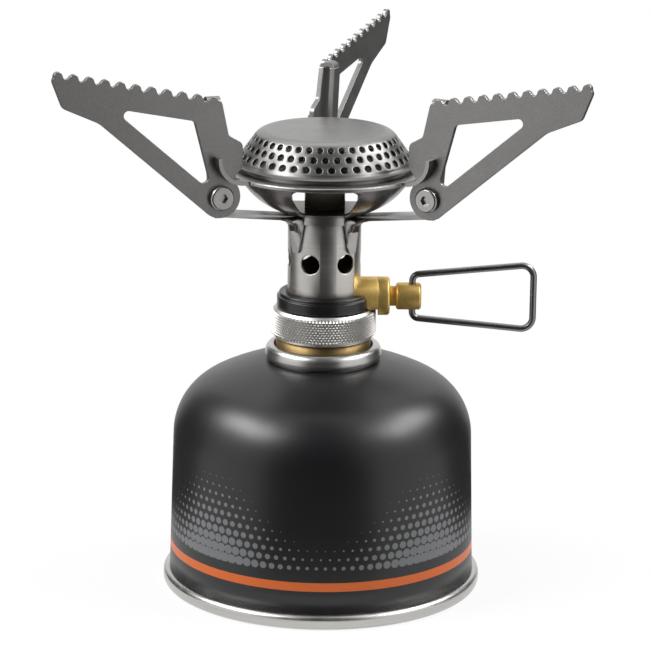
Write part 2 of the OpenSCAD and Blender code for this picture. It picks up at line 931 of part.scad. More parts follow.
// Strip of arm i, rising from the hub's edge to the pad under its ear
module bracket_strip(i) {
    side_y = arm_sides[i] * pad_y;
    turn = arm_turns[i] + arm_skews[i];
    pad = pivot_r * [cos(arm_turns[i]), sin(arm_turns[i])]
        - pad_in * [cos(turn), sin(turn)]
        + side_y * [-sin(turn), cos(turn)];
    reach = norm(pad) - hub_r;
    root = 3;
    drop = 0.4;
    rotate(atan2(pad.y, pad.x))
        translate([hub_r, 0, hub_top - ear_t - drop])
            rotate([0, -atan2(strip_rise + drop, reach), 0])
                translate([-root, -strip_w / 2, -fit])
                    cube([root + reach, strip_w, ear_t]);
    translate([pad.x, pad.y, pad_z])
        cylinder(r = pad_r, h = ear_t);
}

// Ear with its rounded top, which widens from the pad's edge to the pivot
module bracket_ear() {
    foot = pad_z - pivot_z;
    side_r = ear_r - 0.2;
    outer_turn = -25;
    inner_turn = 175;
    difference() {
        upright(-ear_t / 2, ear_t) {
            polygon([
                [-pad_in - pad_r, foot],
                [-pad_in + pad_r, foot],
                side_r * [cos(outer_turn), sin(outer_turn)],
                side_r * [cos(inner_turn), sin(inner_turn)]
            ]);
            circle(ear_r);
        }
        across(screw_r + fit, -ear_t, ear_t);
    }
}

// Tapered tail that bends down from the hub and runs along the tube
module bracket_tail() {
    tail_l = 10.5;
    tail_t = 1.2;
    tail_bend = 4.5;
    tail_top_w = 7;
    tail_foot_w = 2.8;
    tip_round = 1.2;
    face = tube_r + fit;
    top = hub_top - ear_t / 2;
    foot = tube_top - tail_l;
    intersection() {
        rotate([90, 0, 0])
            translate([0, 0, -tail_top_w])
                linear_extrude(2 * tail_top_w)
                    difference() {
                        translate([face, foot])
                            square([tail_t + tail_bend, top - foot]);
                        translate([face + tail_t + tail_bend, top - ear_t / 2 - tail_bend])
                            circle(tail_bend);
                        translate([face + tail_t, foot - 1])
                            square([2 * tail_bend, top - ear_t / 2 - tail_bend - foot + 1]);
                    }
        rotate([90, 0, 90])
            linear_extrude(face + tail_t + 2 * tail_bend)
                rounded([
                    [-tail_foot_w / 2, foot, tip_round],
                    [tail_foot_w / 2, foot, tip_round],
                    [tail_top_w / 2, top],
                    [-tail_top_w / 2, top]
                ]);
    }
}

module support_bracket() {
    spigot_z = tube_top - hub_spigot_h;
    color("#a5a29c")
        difference() {
            union() {
                translate([0, 0, tube_top])
                    cylinder(r = hub_r, h = hub_h);
                translate([0, 0, spigot_z])
                    cylinder(r = tube_in_r - fit, h = hub_spigot_h);
                for (i = [0:2]) {
                    bracket_strip(i);
                    at_arm(i) bracket_ear();
                    rotate(tail_turns[i]) bracket_tail();
                }
            }
            translate([0, 0, spigot_z - 1])
                cylinder(r = column_neck_r + fit, h = hub_h + hub_spigot_h + 2);
        }
}

module burner_column() {
    foot_t = 1.4;
    foot_out = 2.2;
    foot_top = tube_top - hub_spigot_h;
    shoulder = bowl_z + bowl_t + fit;
    color("#6f5a49")
        turned([
            [column_neck_r - column_t, foot_top - foot_t],
            [column_neck_r + foot_out, foot_top - foot_t],
            [column_neck_r + foot_out, foot_top],
            [column_neck_r, foot_top],
            [column_neck_r, shoulder],
            [column_r, shoulder],
            [column_r, cap_z],
            [column_r - column_t, cap_z],
            [column_r - column_t, shoulder + column_t],
            [column_neck_r - column_t, shoulder + column_t]
        ]);
}

// Window through the bowl's side, drawn for the +X side
module bowl_window(foot_w, sill) {
    head = 1;
    corner = 2.4;
    start = column_neck_r + 2;
    translate([start, 0, bowl_z])
        rotate([90, 0, 90])
            linear_extrude(brim_r)
                rounded([
                    [-foot_w, sill, corner],
                    [foot_w, sill, corner],
                    [window_top_w, bowl_h - brim_t - head, corner],
                    [-window_top_w, bowl_h - brim_t - head, corner]
                ]);
}

// Tongue of the brim that curls up beside an arm's plate
module brim_tongue() {
    t = brim_t - 0.2;
    lap = 0.4;
    root_x = -pivot_out - 7.8;
    end_x = tongue_round - pivot_out - lap;
    end_up = 0.6;
    level = brim_z + brim_t / 2 - pivot_z;
    path = bent_path([
        [root_x, level],
        [end_x, level, tongue_round],
        [end_x, level + tongue_round + end_up]
    ], 12);
    lower = [for (p = path) [p.x, p.y] + t / 2 * [sin(p[2]), -cos(p[2])]];
    upper = [for (p = path) [p.x, p.y] - t / 2 * [sin(p[2]), -cos(p[2])]];
    last = len(path) - 1;
    upright(arm_y + arm_t + running_gap, tongue_w)
        polygon(concat(lower, [for (k = [last:-1:0]) upper[k]]));
}

// Bowl with its brim and tongues. The rear window is open down to the hub.
module burner_bowl() {
    span = 2 * brim_r;
    window_turns = [-90, 0, 180];
    sill = 2;
    rear_turn = 90;
    rear_foot_w = 11;
    rear_sill = -1;
    color("#8a7a6c") {
        difference() {
            rotate_extrude() {
                intersection() {
                    translate(bowl_centre)
                        difference() {
                            circle(bowl_round);
                            circle(bowl_round - bowl_t);
                        }
                    translate([bowl_centre.x, bowl_z])
                        square([span, bowl_h - brim_t / 2]);
                }
                translate([column_neck_r + fit, bowl_z])
                    square([bowl_foot_r - column_neck_r - fit, bowl_t]);
                rounded([
                    [ledge_r, brim_z],
                    [brim_r, brim_z, 0.5],
                    [brim_r, brim_top, 0.6],
                    [ledge_r, brim_top]
                ]);
            }
            for (turn = window_turns)
                rotate(turn) bowl_window(window_foot_w, sill);
            rotate(rear_turn) bowl_window(rear_foot_w, rear_sill);
        }
        for (i = [0:2])
            at_arm(i) brim_tongue();
    }
}

module burner_plate() {
    color("#77706a")
        tube_ring(column_r + fit, plate_r, brim_top, plate_t);
}

// Inverted dish of perforated sheet that spreads the gas under the cap
module flame_diffuser() {
    dish_r = 20;
    dish_h = 4;
    dish_t = 0.8;
    hole_r = 1;
    color("#8d8a86")
        difference() {
            translate([0, 0, cap_z])
                cylinder(r = dish_r, h = dish_h);
            translate([0, 0, cap_z - 1])
                cylinder(r = dish_r - dish_t, h = dish_h - dish_t + 1);
            for (row = [1:3])
                around(8 * row)
                    translate([row * dish_r / 4, 0, cap_z])
                        cylinder(r = hole_r, h = 2 * dish_h);
        }
}

// Flame hole of row k, square to the cap's sloping side
module flame_hole(k) {
    up = first_row_up + k * flame_row_rise;
    r = cap_flare_r - (up - cap_flare_up) * tan(cap_slope);
    translate([r, 0, cap_z + up])
        rotate([0, 90 - cap_slope, 0])
            translate([0, 0, -2 * cap_t])
                cylinder(r = flame_hole_r, h = 4 * cap_t);
}

module burner_cap() {
    rows = 3;
    side_t = cap_t / cos(cap_slope);
    lip_in_r = cap_lip_r - 2.6;
    color("#bdbab5")
        difference() {
            translate([0, 0, cap_z])
                rotate_extrude()
                    difference() {
                        rounded([
                            [0, 0],
                            [cap_lip_r, 0, 0.3],
                            [cap_lip_r, 1.2, 0.4],
                            [cap_flare_r, cap_flare_up],
                            [cap_top_r, cap_h, cap_round],
                            [0, cap_h]
                        ]);
                        rounded([
                            [-1, -1],
                            [lip_in_r, -1],
                            [lip_in_r, cap_flare_up],
                            [cap_flare_r - side_t, cap_flare_up],
                            [cap_top_r - side_t + cap_t * tan(cap_slope), cap_h - cap_t, cap_round - cap_t],
                            [-1, cap_h - cap_t]
                        ]);
                    }
            for (k = [0:rows - 1])
                around(flame_hole_n, (k % 2) * 180 / flame_hole_n)
                    flame_hole(k);
        }
}

// Outline of an arm without its teeth
module arm_outline() {
    inner_top = meet(tip, tooth_slope, inner_foot, inner_lean);
    elbow = meet(heel, strut_slope, nose_low, nose_slope);
    rounded([
        [0, 0],
        heel,
        [elbow.x, elbow.y, elbow_round],
        [nose_low.x, nose_low.y, 2.5],
        [tip.x, tip.y, 2],
        [inner_top.x, inner_top.y, 2],
        [inner_foot.x, inner_foot.y, 1.5],
        [bump.x, bump.y, 2.6],
        [bump.x, bump_foot, 2],
        [notch.x, notch.y, 1.5],
        [notch.x, 0]
    ]);
    circle(lobe_r);
}

// Three-cornered opening between the toothed bar, the lower strut and the inner post
module arm_opening() {
    bar_line = first_tooth + bar_w * [tooth_dir.y, -tooth_dir.x];
    strut_line = heel + strut_w * [-sin(strut_slope), cos(strut_slope)];
    low = meet(strut_line, strut_slope, post_foot, post_lean);
    outer = meet(strut_line, strut_slope, bar_line, tooth_slope);
    upper = meet(post_foot, post_lean, bar_line, tooth_slope);
    rounded([
        [low.x, low.y, 1.8],
        [outer.x, outer.y, 1.6],
        [upper.x, upper.y, 2]
    ]);
}

// Outline of an arm with its teeth and its opening
module toothed_outline() {
    tooth_side = [tooth_dir.y, -tooth_dir.x];
    difference() {
        union() {
            arm_outline();
            for (k = [0:tooth_n - 1])
                translate(first_tooth + k * tooth_pitch * tooth_dir + tooth_tip_r * tooth_side)
                    circle(tooth_tip_r);
        }
        for (k = [0.5:tooth_n - 1.5])
            translate(first_tooth + k * tooth_pitch * tooth_dir + (tooth_h - tooth_root_r) * tooth_side)
                circle(tooth_root_r);
        arm_opening();
    }
}

// Leg that is folded back from the top of the inner post and passes down the ear's other side
module folded_leg() {
    lap = 0.6;
    inset = 0.1;
    fold_z = tooth_up - arm_y - arm_t;
    fold_in = (arm_y + leg_y) / 2 + inset;
    fold_out = fold_in + arm_t - 2 * inset;
    upright(-leg_end_y, arm_t) {
        circle(leg_lobe_r);
        polygon([
            [-leg_w / 2, 0],
            [leg_w / 2, 0],
            [leg_out + leg_w / 2, fold_z - lap],
            [leg_out + leg_w / 2, fold_z + lap],
            [leg_out - leg_w / 2, fold_z + lap],
            [leg_out - leg_w / 2, fold_z - lap]
        ]);
    }
    translate([leg_out - leg_w / 2 + inset, (arm_y - leg_y) / 2, fold_z])
        rotate([90, 0, 90])
            linear_extrude(leg_w - 2 * inset)
                intersection() {
                    difference() {
                        circle(fold_out);
                        circle(fold_in);
                    }
                    translate([-fold_out, 0]) square([2 * fold_out, fold_out]);
                }
}

// Toothed plate and folded leg, one on each side of the ear, with the pivot hole through both
module pot_arm(i) {
    color("#9b9a98")
        at_arm(i)
            rotate([0, -arm_lifts[i], 0])
                difference() {
                    union() {
                        upright(arm_y, arm_t) toothed_outline();
                        folded_leg();
                    }
                    across(screw_r + running_fit, -leg_end_y - arm_t, arm_y + 2 * arm_t);
                }
}

module pot_arm_right() pot_arm(0);
module pot_arm_rear() pot_arm(1);
module pot_arm_left() pot_arm(2);

// Button-head screws with hexagon sockets
module pivot_screws() {
    socket_r = 1.7;
    socket_depth = 1.3;
    head_edge = 0.85;
    shank_end = -nut_y - nut_h - thread_over;
    top_y = screw_head_y + screw_head_h;
    color("#a7a6a3")
        for (i = [0:2])
            at_arm(i)
                difference() {
                    rotate([-90, 0, 0])
                        turned([
                            [0, shank_end],
                            [screw_r, shank_end],
                            [screw_r, screw_head_y],
                            [screw_head_r, screw_head_y],
                            [screw_head_r, top_y, head_edge],
                            [0, top_y]
                        ]);
                    translate([0, top_y - socket_depth, 0])
                        rotate([-90, 0, 0])
                            cylinder(r = socket_r, h = 2 * socket_depth, $fn = 6);
                }
}

module pivot_washers() {
    color("#b9b8b5")
        for (i = [0:2])
            at_arm(i)
                difference() {
                    across(screw_head_r, ear_t / 2, ear_t / 2 + washer_t);
                    across(screw_r + fit, 0, ear_t + washer_t);
                }
}

module pivot_nuts() {
    color("#a7a6a3")
        for (i = [0:2])
            at_arm(i)
                difference() {
                    translate([0, -nut_y - nut_h, 0])
                        rotate([-90, 0, 0])
                            cylinder(r = nut_r, h = nut_h, $fn = 6);
                    across(screw_r + fit / 2, -nut_y - 2 * nut_h, 0);
                }
}

canister_shell();
canister_base();
valve_cup();
threaded_nipple();
valve_gasket();
valve_housing();
valve_stem();
valve_spring();
brass_insert();
knurled_ring();
valve_body();
canister_seal();
depressor_pin();
jet();
packing_ring();
gland_nut();
heat_collar();
mixing_tube();
support_bracket();
burner_column();
burner_bowl();
burner_plate();
flame_diffuser();
burner_cap();
pivot_screws();
pivot_washers();
pivot_nuts();
valve_spindle();
wire_handle();
pot_arm_right();
pot_arm_rear();
pot_arm_left();
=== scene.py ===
"""Looks of a backpacking stove on its fuel canister. Metres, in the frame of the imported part."""
import json
import math

import bmesh
import bpy
from mathutils import Matrix, Vector


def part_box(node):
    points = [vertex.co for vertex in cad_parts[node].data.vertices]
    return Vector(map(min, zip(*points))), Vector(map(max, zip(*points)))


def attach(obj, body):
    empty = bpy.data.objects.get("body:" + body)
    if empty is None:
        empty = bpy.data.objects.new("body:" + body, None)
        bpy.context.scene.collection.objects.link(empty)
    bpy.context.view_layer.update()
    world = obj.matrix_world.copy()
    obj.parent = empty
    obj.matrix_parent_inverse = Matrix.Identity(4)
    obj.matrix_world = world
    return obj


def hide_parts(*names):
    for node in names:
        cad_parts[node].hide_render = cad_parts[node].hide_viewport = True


MM = 0.001

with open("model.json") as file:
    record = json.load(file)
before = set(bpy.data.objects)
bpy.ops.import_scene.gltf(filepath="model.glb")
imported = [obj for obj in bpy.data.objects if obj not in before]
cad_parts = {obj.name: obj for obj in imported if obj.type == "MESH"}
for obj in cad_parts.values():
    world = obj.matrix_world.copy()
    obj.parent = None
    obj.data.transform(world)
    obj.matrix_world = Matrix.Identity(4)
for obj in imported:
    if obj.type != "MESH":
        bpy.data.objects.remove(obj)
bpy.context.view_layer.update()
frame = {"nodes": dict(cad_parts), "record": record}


# Camera and studio

CAMERA_PLACE = Vector((0, -1.1015, 0.390))
CAMERA_AIM = Vector((0.0005, 0, 0.0913))
CAMERA_ROLL = 0.0112
CAMERA_LENS = 184.1
CAMERA_SENSOR = 36
FILL_COLOUR = (0.62, 0.63, 0.65, 1)
FILL_STRENGTH = 0.35
PURE_WHITE = (1, 1, 1, 1)
FLOOR_GREY = (0.86, 0.86, 0.86, 1)
FLOOR_HALF = 3.0
FLOOR_WHITE_NEAR = 0.85
SHADOW_NEAR = 0.058
SHADOW_FAR = 0.13
CARD_BLACK = (0.02, 0.02, 0.02, 1)
CARD_NEAR = 0.10
CARD_FAR = 1.3
CARD_LIFT = 0.002
CARD_STEPS = 8
FRONT_CARD_HEIGHT = 1.5
SIDE_CARD_HEIGHT = 1.2
FRONT_CARD_TURNS = (-40, 35)
SIDE_CARD_TURNS = (96, 146)
LAMP_AIM = Vector((0, 0, 0.09))
SIDE_BOX_SIZE = (0.85, 0.36)
TOP_BOX_SIZE = (0.8, 0.5)


def photo_camera():
    """Camera at the photograph's viewing angle."""
    data = bpy.data.cameras.new("photo_view")
    data.sensor_width = CAMERA_SENSOR
    data.lens = CAMERA_LENS
    camera = bpy.data.objects.new("photo_view", data)
    bpy.context.scene.collection.objects.link(camera)
    look = (CAMERA_AIM - CAMERA_PLACE).to_track_quat("-Z", "Y").to_matrix()
    camera.location = CAMERA_PLACE
    camera.rotation_euler = (look @ Matrix.Rotation(CAMERA_ROLL, 3, "Z")).to_euler()
    bpy.context.scene.camera = camera


def node(tree, kind, inputs=None, **settings):
    """Adds a node, sets its properties and fills its inputs with values or with links."""
    made = tree.nodes.new(kind)
    for name, value in settings.items():
        setattr(made, name, value)
    for key, value in (inputs or {}).items():
        if isinstance(value, bpy.types.NodeSocket):
            tree.links.new(value, made.inputs[key])
        else:
            made.inputs[key].default_value = value
    return made


def sums(tree, operation, *values, clamp=False):
    """Result of a Math node on values or sockets."""
    inputs = dict(enumerate(values))
    return node(tree, "ShaderNodeMath", inputs, operation=operation, use_clamp=clamp).outputs[0]


def seen_directly(tree):
    """Mask of the rays that should meet the white background: camera, mirror and through rays."""
    path = node(tree, "ShaderNodeLightPath").outputs
    either = sums(tree, "MAXIMUM", path["Is Camera Ray"], path["Is Glossy Ray"])
    return sums(tree, "MAXIMUM", either, path["Is Transmission Ray"])


def white_surroundings():
    """World that is white behind the object and gives a soft grey fill light."""
    world = bpy.data.worlds.new("studio")
    world.use_nodes = True
    tree = world.node_tree
    tree.nodes.clear()
    fill = node(tree, "ShaderNodeBackground", {"Color": FILL_COLOUR, "Strength": FILL_STRENGTH})
    white = node(tree, "ShaderNodeBackground", {"Color": PURE_WHITE, "Strength": 1.0})
    mix = node(tree, "ShaderNodeMixShader", {
        0: seen_directly(tree), 1: fill.outputs[0], 2: white.outputs[0],
    })
    node(tree, "ShaderNodeOutputWorld", {"Surface": mix.outputs[0]})
    bpy.context.scene.world = world


def stage_sheet(name, spots, faces, material):
    """Sheet of the stage, which isn't part of the object."""
    mesh = bpy.data.meshes.new(name)
    mesh.from_pydata(spots, [], faces)
    mesh.materials.append(material)
    sheet = bpy.data.objects.new(name, mesh)
    bpy.context.scene.collection.objects.link(sheet)
    return sheet


def floor_material():
    """Pale floor that keeps a soft shadow near the object and is plain white further away."""
    material = bpy.data.materials.new("pale_floor")
    material.use_nodes = True
    tree = material.node_tree
    tree.nodes.clear()
    matt = node(tree, "ShaderNodeBsdfDiffuse", {"Color": FLOOR_GREY})
    white = node(tree, "ShaderNodeEmission", {"Color": PURE_WHITE, "Strength": 1.0})
    place = node(tree, "ShaderNodeTexCoord").outputs["Object"]
    away = node(tree, "ShaderNodeVectorMath", {0: place}, operation="LENGTH").outputs["Value"]
    shown_white = node(tree, "ShaderNodeMapRange", {
        "Value": away, "From Min": SHADOW_NEAR, "From Max": SHADOW_FAR,
        "To Min": FLOOR_WHITE_NEAR, "To Max": 1.0,
    }).outputs[0]
    share = sums(tree, "MULTIPLY", seen_directly(tree), shown_white)
    mix = node(tree, "ShaderNodeMixShader", {0: share, 1: matt.outputs[0], 2: white.outputs[0]})
    node(tree, "ShaderNodeOutputMaterial", {"Surface": mix.outputs[0]})
    return material


def card_material():
    """Dark cloth of the cards that darken what polished metal mirrors."""
    material = bpy.data.materials.new("card_cloth")
    material.use_nodes = True
    surface = material.node_tree.nodes["Principled BSDF"].inputs
    surface["Base Color"].default_value = CARD_BLACK
    surface["Roughness"].default_value = 1
    return material


def dark_card(name, first, last, profile, material):
    """Card bent along (reach, height) points, from one turn to another, that only mirror rays see."""
    turns = [math.radians(first + (last - first) * k / CARD_STEPS) for k in range(CARD_STEPS + 1)]
    spots = [
        (reach * math.sin(t), -reach * math.cos(t), height)
        for t in turns for reach, height in profile
    ]
    across = len(profile)
    faces = [
        (across * k + j, across * k + j + 1, across * (k + 1) + j + 1, across * (k + 1) + j)
        for k in range(CARD_STEPS) for j in range(across - 1)
    ]
    card = stage_sheet(name, spots, faces, material)
    card.visible_camera = False
    card.visible_diffuse = False
    card.visible_shadow = False


def stage():
    """Floor, and dark cards in front and at both sides towards the rear."""
    h = FLOOR_HALF
    stage_sheet("floor", [(-h, -h, 0), (h, -h, 0), (h, h, 0), (-h, h, 0)], [range(4)], floor_material())
    cloth = card_material()
    foot = [(CARD_NEAR, CARD_LIFT), (CARD_FAR, CARD_LIFT)]
    wall_and_roof = [(CARD_FAR, FRONT_CARD_HEIGHT), (CARD_NEAR, FRONT_CARD_HEIGHT)]
    dark_card("front_card", *FRONT_CARD_TURNS, foot + wall_and_roof, cloth)
    wall = [(CARD_FAR, SIDE_CARD_HEIGHT)]
    dark_card("left_card", *(-turn for turn in SIDE_CARD_TURNS), foot + wall, cloth)
    dark_card("right_card", *SIDE_CARD_TURNS, foot + wall, cloth)


def softbox(name, place, size, power):
    """Rectangular lamp that faces the object."""
    data = bpy.data.lights.new(name, "AREA")
    data.shape = "RECTANGLE"
    data.size, data.size_y = size
    data.energy = power
    lamp = bpy.data.objects.new(name, data)
    bpy.context.scene.collection.objects.link(lamp)
    lamp.location = place
    lamp.rotation_euler = (LAMP_AIM - Vector(place)).to_track_quat("-Z", "Y").to_euler()


def lamps():
    """Two side softboxes and a weak one overhead."""
    softbox("left_box", place=(-0.81, -0.20, 0.84), size=SIDE_BOX_SIZE, power=14.5)
    softbox("right_box", place=(0.83, 0.0, 0.84), size=SIDE_BOX_SIZE, power=11.5)
    softbox("top_box", place=(0, 0.45, 1.1), size=TOP_BOX_SIZE, power=1.0)


# Shared finishes

LINE_SPREAD = (-0.4, 1.4)
GRAIN_SPREAD = (-0.5, 1.5)
SCRATCH_LEAN = (0.5, 0.35, 0.8)
SCRATCH_STRETCH = (1, 14, 1)
SCRATCH_BAND = (0.64, 0.72)
SMUDGE_BAND = (0.3, 0.7)
HEAT_PATCHES = 130.0
HEAT_UNEVEN = (-0.45, 0.45)
HEAT_STOPS = (
    (0.0, (0.12, 0.108, 0.096)),
    (0.3, (0.09, 0.067, 0.048)),
    (0.55, (0.055, 0.038, 0.026)),
    (0.75, (0.055, 0.047, 0.044)),
    (1.0, (0.09, 0.086, 0.084)),
)
BRIM_STEEL = (0.33, 0.322, 0.314)
CLEAN_FADE = 0.3 * MM


def group(name, inputs, outputs):
    """Empty shader node group with named values in and named sockets out."""
    tree = bpy.data.node_groups.new(name, "ShaderNodeTree")
    for label, default in inputs.items():
        socket = tree.interface.new_socket(label, in_out="INPUT", socket_type="NodeSocketFloat")
        socket.default_value = default
    for label, kind in outputs.items():
        tree.interface.new_socket(label, in_out="OUTPUT", socket_type=kind)
    return tree, node(tree, "NodeGroupInput").outputs, node(tree, "NodeGroupOutput").inputs


def ramp(tree, factor, stops):
    """Colour ramp through (position, colour) stops."""
    made = node(tree, "ShaderNodeValToRGB", {"Fac": factor})
    elements = made.color_ramp.elements
    while len(elements) < len(stops):
        elements.new(0.5)
    for element, (position, colour) in zip(elements, stops):
        element.position = position
        element.color = (*colour, 1)
    return made.outputs["Color"]


def blend(tree, factor, low, high):
    """Colour between low and high, which are colours or sockets."""
    made = node(tree, "ShaderNodeMix", {"Factor": factor}, data_type="RGBA")
    for socket, value in ((made.inputs[6], low), (made.inputs[7], high)):
        if isinstance(value, bpy.types.NodeSocket):
            tree.links.new(value, socket)
        else:
            socket.default_value = (*value, 1)
    return made.outputs[2]


def between(tree, value, low, high):
    """Value in 0 to 1 spread from low to high."""
    return node(tree, "ShaderNodeMapRange", {"Value": value, "To Min": low, "To Max": high}).outputs[0]


def turned_lines_group():
    """Fine lines that run round the upright axis, as on turned and spun metal."""
    tree, given, out = group(
        "turned_lines", {"Lines per mm": 3.0, "Wander": 0.6},
        {"Lines": "NodeSocketFloat", "Radius": "NodeSocketFloat"},
    )
    place = node(tree, "ShaderNodeTexCoord").outputs["Object"]
    part = node(tree, "ShaderNodeSeparateXYZ", {0: place}).outputs
    angle = sums(tree, "ARCTAN2", part["Y"], part["X"])
    flat = node(tree, "ShaderNodeCombineXYZ", {"X": part["X"], "Y": part["Y"]})
    radius = node(tree, "ShaderNodeVectorMath", {0: flat.outputs[0]}, operation="LENGTH").outputs["Value"]
    fine = sums(tree, "MULTIPLY", given["Lines per mm"], 1 / MM)
    lined = node(tree, "ShaderNodeCombineXYZ", {
        "X": sums(tree, "MULTIPLY", angle, given["Wander"]),
        "Y": sums(tree, "MULTIPLY", radius, fine),
        "Z": sums(tree, "MULTIPLY", part["Z"], fine),
    })
    noise = node(tree, "ShaderNodeTexNoise", {"Vector": lined.outputs[0], "Scale": 1.0, "Detail": 4.0})
    tree.links.new(between(tree, noise.outputs["Fac"], *LINE_SPREAD), out["Lines"])
    tree.links.new(radius, out["Radius"])
    return tree


def sheet_grain_group():
    """Fine grain of rolled or tumbled metal, with sparse hairline scratches."""
    tree, given, out = group(
        "sheet_grain",
        {"Grains per mm": 4.0, "Scratches per mm": 0.35},
        {"Grain": "NodeSocketFloat", "Scratches": "NodeSocketFloat"},
    )
    place = node(tree, "ShaderNodeTexCoord").outputs["Object"]
    fine = sums(tree, "MULTIPLY", given["Grains per mm"], 1 / MM)
    grain = node(tree, "ShaderNodeTexNoise", {
        "Vector": place, "Scale": fine, "Detail": 5.0, "Roughness": 0.65,
    })
    tree.links.new(between(tree, grain.outputs["Fac"], *GRAIN_SPREAD), out["Grain"])
    leaning = node(tree, "ShaderNodeMapping", {
        "Vector": place, "Rotation": SCRATCH_LEAN, "Scale": SCRATCH_STRETCH,
    })
    coarse = sums(tree, "MULTIPLY", given["Scratches per mm"], 1 / MM)
    hair = node(tree, "ShaderNodeTexNoise", {"Vector": leaning.outputs[0], "Scale": coarse, "Detail": 2.0})
    marks = node(tree, "ShaderNodeMapRange", {
        "Value": hair.outputs["Fac"], "From Min": SCRATCH_BAND[0], "From Max": SCRATCH_BAND[1],
    })
    tree.links.new(marks.outputs[0], out["Scratches"])
    return tree


def smudges_group():
    """Soft blotches from handling and storage."""
    tree, given, out = group("smudges", {"Blotch mm": 12.0}, {"Smudge": "NodeSocketFloat"})
    place = node(tree, "ShaderNodeTexCoord").outputs["Object"]
    scale = sums(tree, "DIVIDE", 1 / MM, given["Blotch mm"])
    noise = node(tree, "ShaderNodeTexNoise", {
        "Vector": place, "Scale": scale, "Detail": 6.0, "Roughness": 0.6,
    })
    spread = node(tree, "ShaderNodeMapRange", {
        "Value": noise.outputs["Fac"], "From Min": SMUDGE_BAND[0], "From Max": SMUDGE_BAND[1],
    })
    tree.links.new(spread.outputs[0], out["Smudge"])
    return tree


def heat_tint_group():
    """Brown and grey tints of steel that has been hot, up to a height above which it stays bright."""
    tree, given, out = group(
        "heat_tint",
        {"Cool height": 0.0, "Hot height": 0.1, "Clean height": 0.1},
        {"Tint": "NodeSocketColor", "Clean": "NodeSocketFloat"},
    )
    place = node(tree, "ShaderNodeTexCoord").outputs["Object"]
    height = node(tree, "ShaderNodeSeparateXYZ", {0: place}).outputs["Z"]
    heat = node(tree, "ShaderNodeMapRange", {
        "Value": height, "From Min": given["Cool height"], "From Max": given["Hot height"],
    }).outputs[0]
    patch = node(tree, "ShaderNodeTexNoise", {"Vector": place, "Scale": HEAT_PATCHES, "Detail": 3.0})
    uneven = sums(tree, "ADD", heat, between(tree, patch.outputs["Fac"], *HEAT_UNEVEN), clamp=True)
    tint = ramp(tree, uneven, HEAT_STOPS)
    clean = node(tree, "ShaderNodeMapRange", {
        "Value": height, "From Min": sums(tree, "SUBTRACT", given["Clean height"], CLEAN_FADE),
        "From Max": sums(tree, "ADD", given["Clean height"], CLEAN_FADE),
    }).outputs[0]
    tree.links.new(blend(tree, clean, tint, BRIM_STEEL), out["Tint"])
    tree.links.new(clean, out["Clean"])
    return tree


GROUPS = {}


def placed(tree, name, **inputs):
    """Shared finish as a node in a material, with its own values."""
    made = node(tree, "ShaderNodeGroup", node_tree=GROUPS[name])
    for key, value in inputs.items():
        made.inputs[key.replace("_", " ")].default_value = value
    return made.outputs


def new_material(name, **values):
    """Material with a Principled shader whose plain values are set on its sockets."""
    material = bpy.data.materials.new(name)
    material.use_nodes = True
    tree = material.node_tree
    surface = tree.nodes["Principled BSDF"]
    for key, value in values.items():
        surface.inputs[key.replace("_", " ")].default_value = value
    return material, tree, surface.inputs


def bumped(tree, height, depth, into):
    """Feeds a height into a surface's normal."""
    made = node(tree, "ShaderNodeBump", {"Height": height, "Distance": depth, "Strength": 1.0})
    tree.links.new(made.outputs[0], into["Normal"])


# Materials

INK_GREY = (0.115, 0.117, 0.122)
PAINT_BLACK = (0.0056, 0.0058, 0.0068)
PAINT_ROUGH = (0.35, 0.40)
PAINT_DEPTH = 0.004 * MM
STRIPE_ORANGE = (0.50, 0.088, 0.002)
STRIPE_LOW = 13.06 * MM
STRIPE_HIGH = 16.09 * MM
DOTS_AROUND = 108
DOT_PITCH = 3.05 * MM
DOT_RADIUS = 0.40
DOT_SHRINK = 0.42
DOT_BLUR = 0.02
DOT_WAVES = 4.0
DOT_WAVE_DEPTH = 0.22
DOTS_FOOT = 19.6 * MM
DOTS_FADE = 21 * MM
LINES_ROUGH = (-0.03, 0.05)
GRAIN_ROUGH = (-0.04, 0.04)
SCRATCH_STEEL = (0.7, 0.7, 0.69)
# Near-black painted shade for the inside of the mixing tube's bore, within the radius below.
BORE_SHADE = (0.016, 0.014, 0.012)
TUBE_BORE_SHADE_RADIUS = 11.7 * MM
FLAMED = (0.07, 0.068, 0.066)
FLAME_SHARE = 0.45
FLAME_FADE = 2.5 * MM
BRASS_DARK = (0.66, 0.435, 0.115)
BRASS_LIGHT = (0.86, 0.61, 0.215)
BRASS_WORN = (0.43, 0.27, 0.07)
# Dark brown painted shade for brass lower than the knurled ring.
BRASS_SHADE_BELOW_RING = (0.17, 0.115, 0.045)
BRASS_WEAR = 0.5
BRASS_ROUGH = (0.36, 0.50)
BRASS_DEPTH = 0.012 * MM
BOWL_RISE = 13.3 * MM
BOWL_COOL_DROP = 4 * MM
BOWL_LINE_SHARE = 0.12
BOWL_LINE_DEPTH = 0.004 * MM
BOWL_LINE_STEEL = (0.55, 0.53, 0.5)
BOWL_ROUGH = (0.2, 0.34)
BOWL_METALLIC = (0.6, 1.0)
COLUMN_RADIUS = 7.0 * MM
COLUMN_BROWN = (0.36, 0.30, 0.24)
COLUMN_METALLIC_LOSS = 0.4
SOLID_GRAIN_GAIN = 1.25
SOLID_GRAIN_LIFT = 0.002


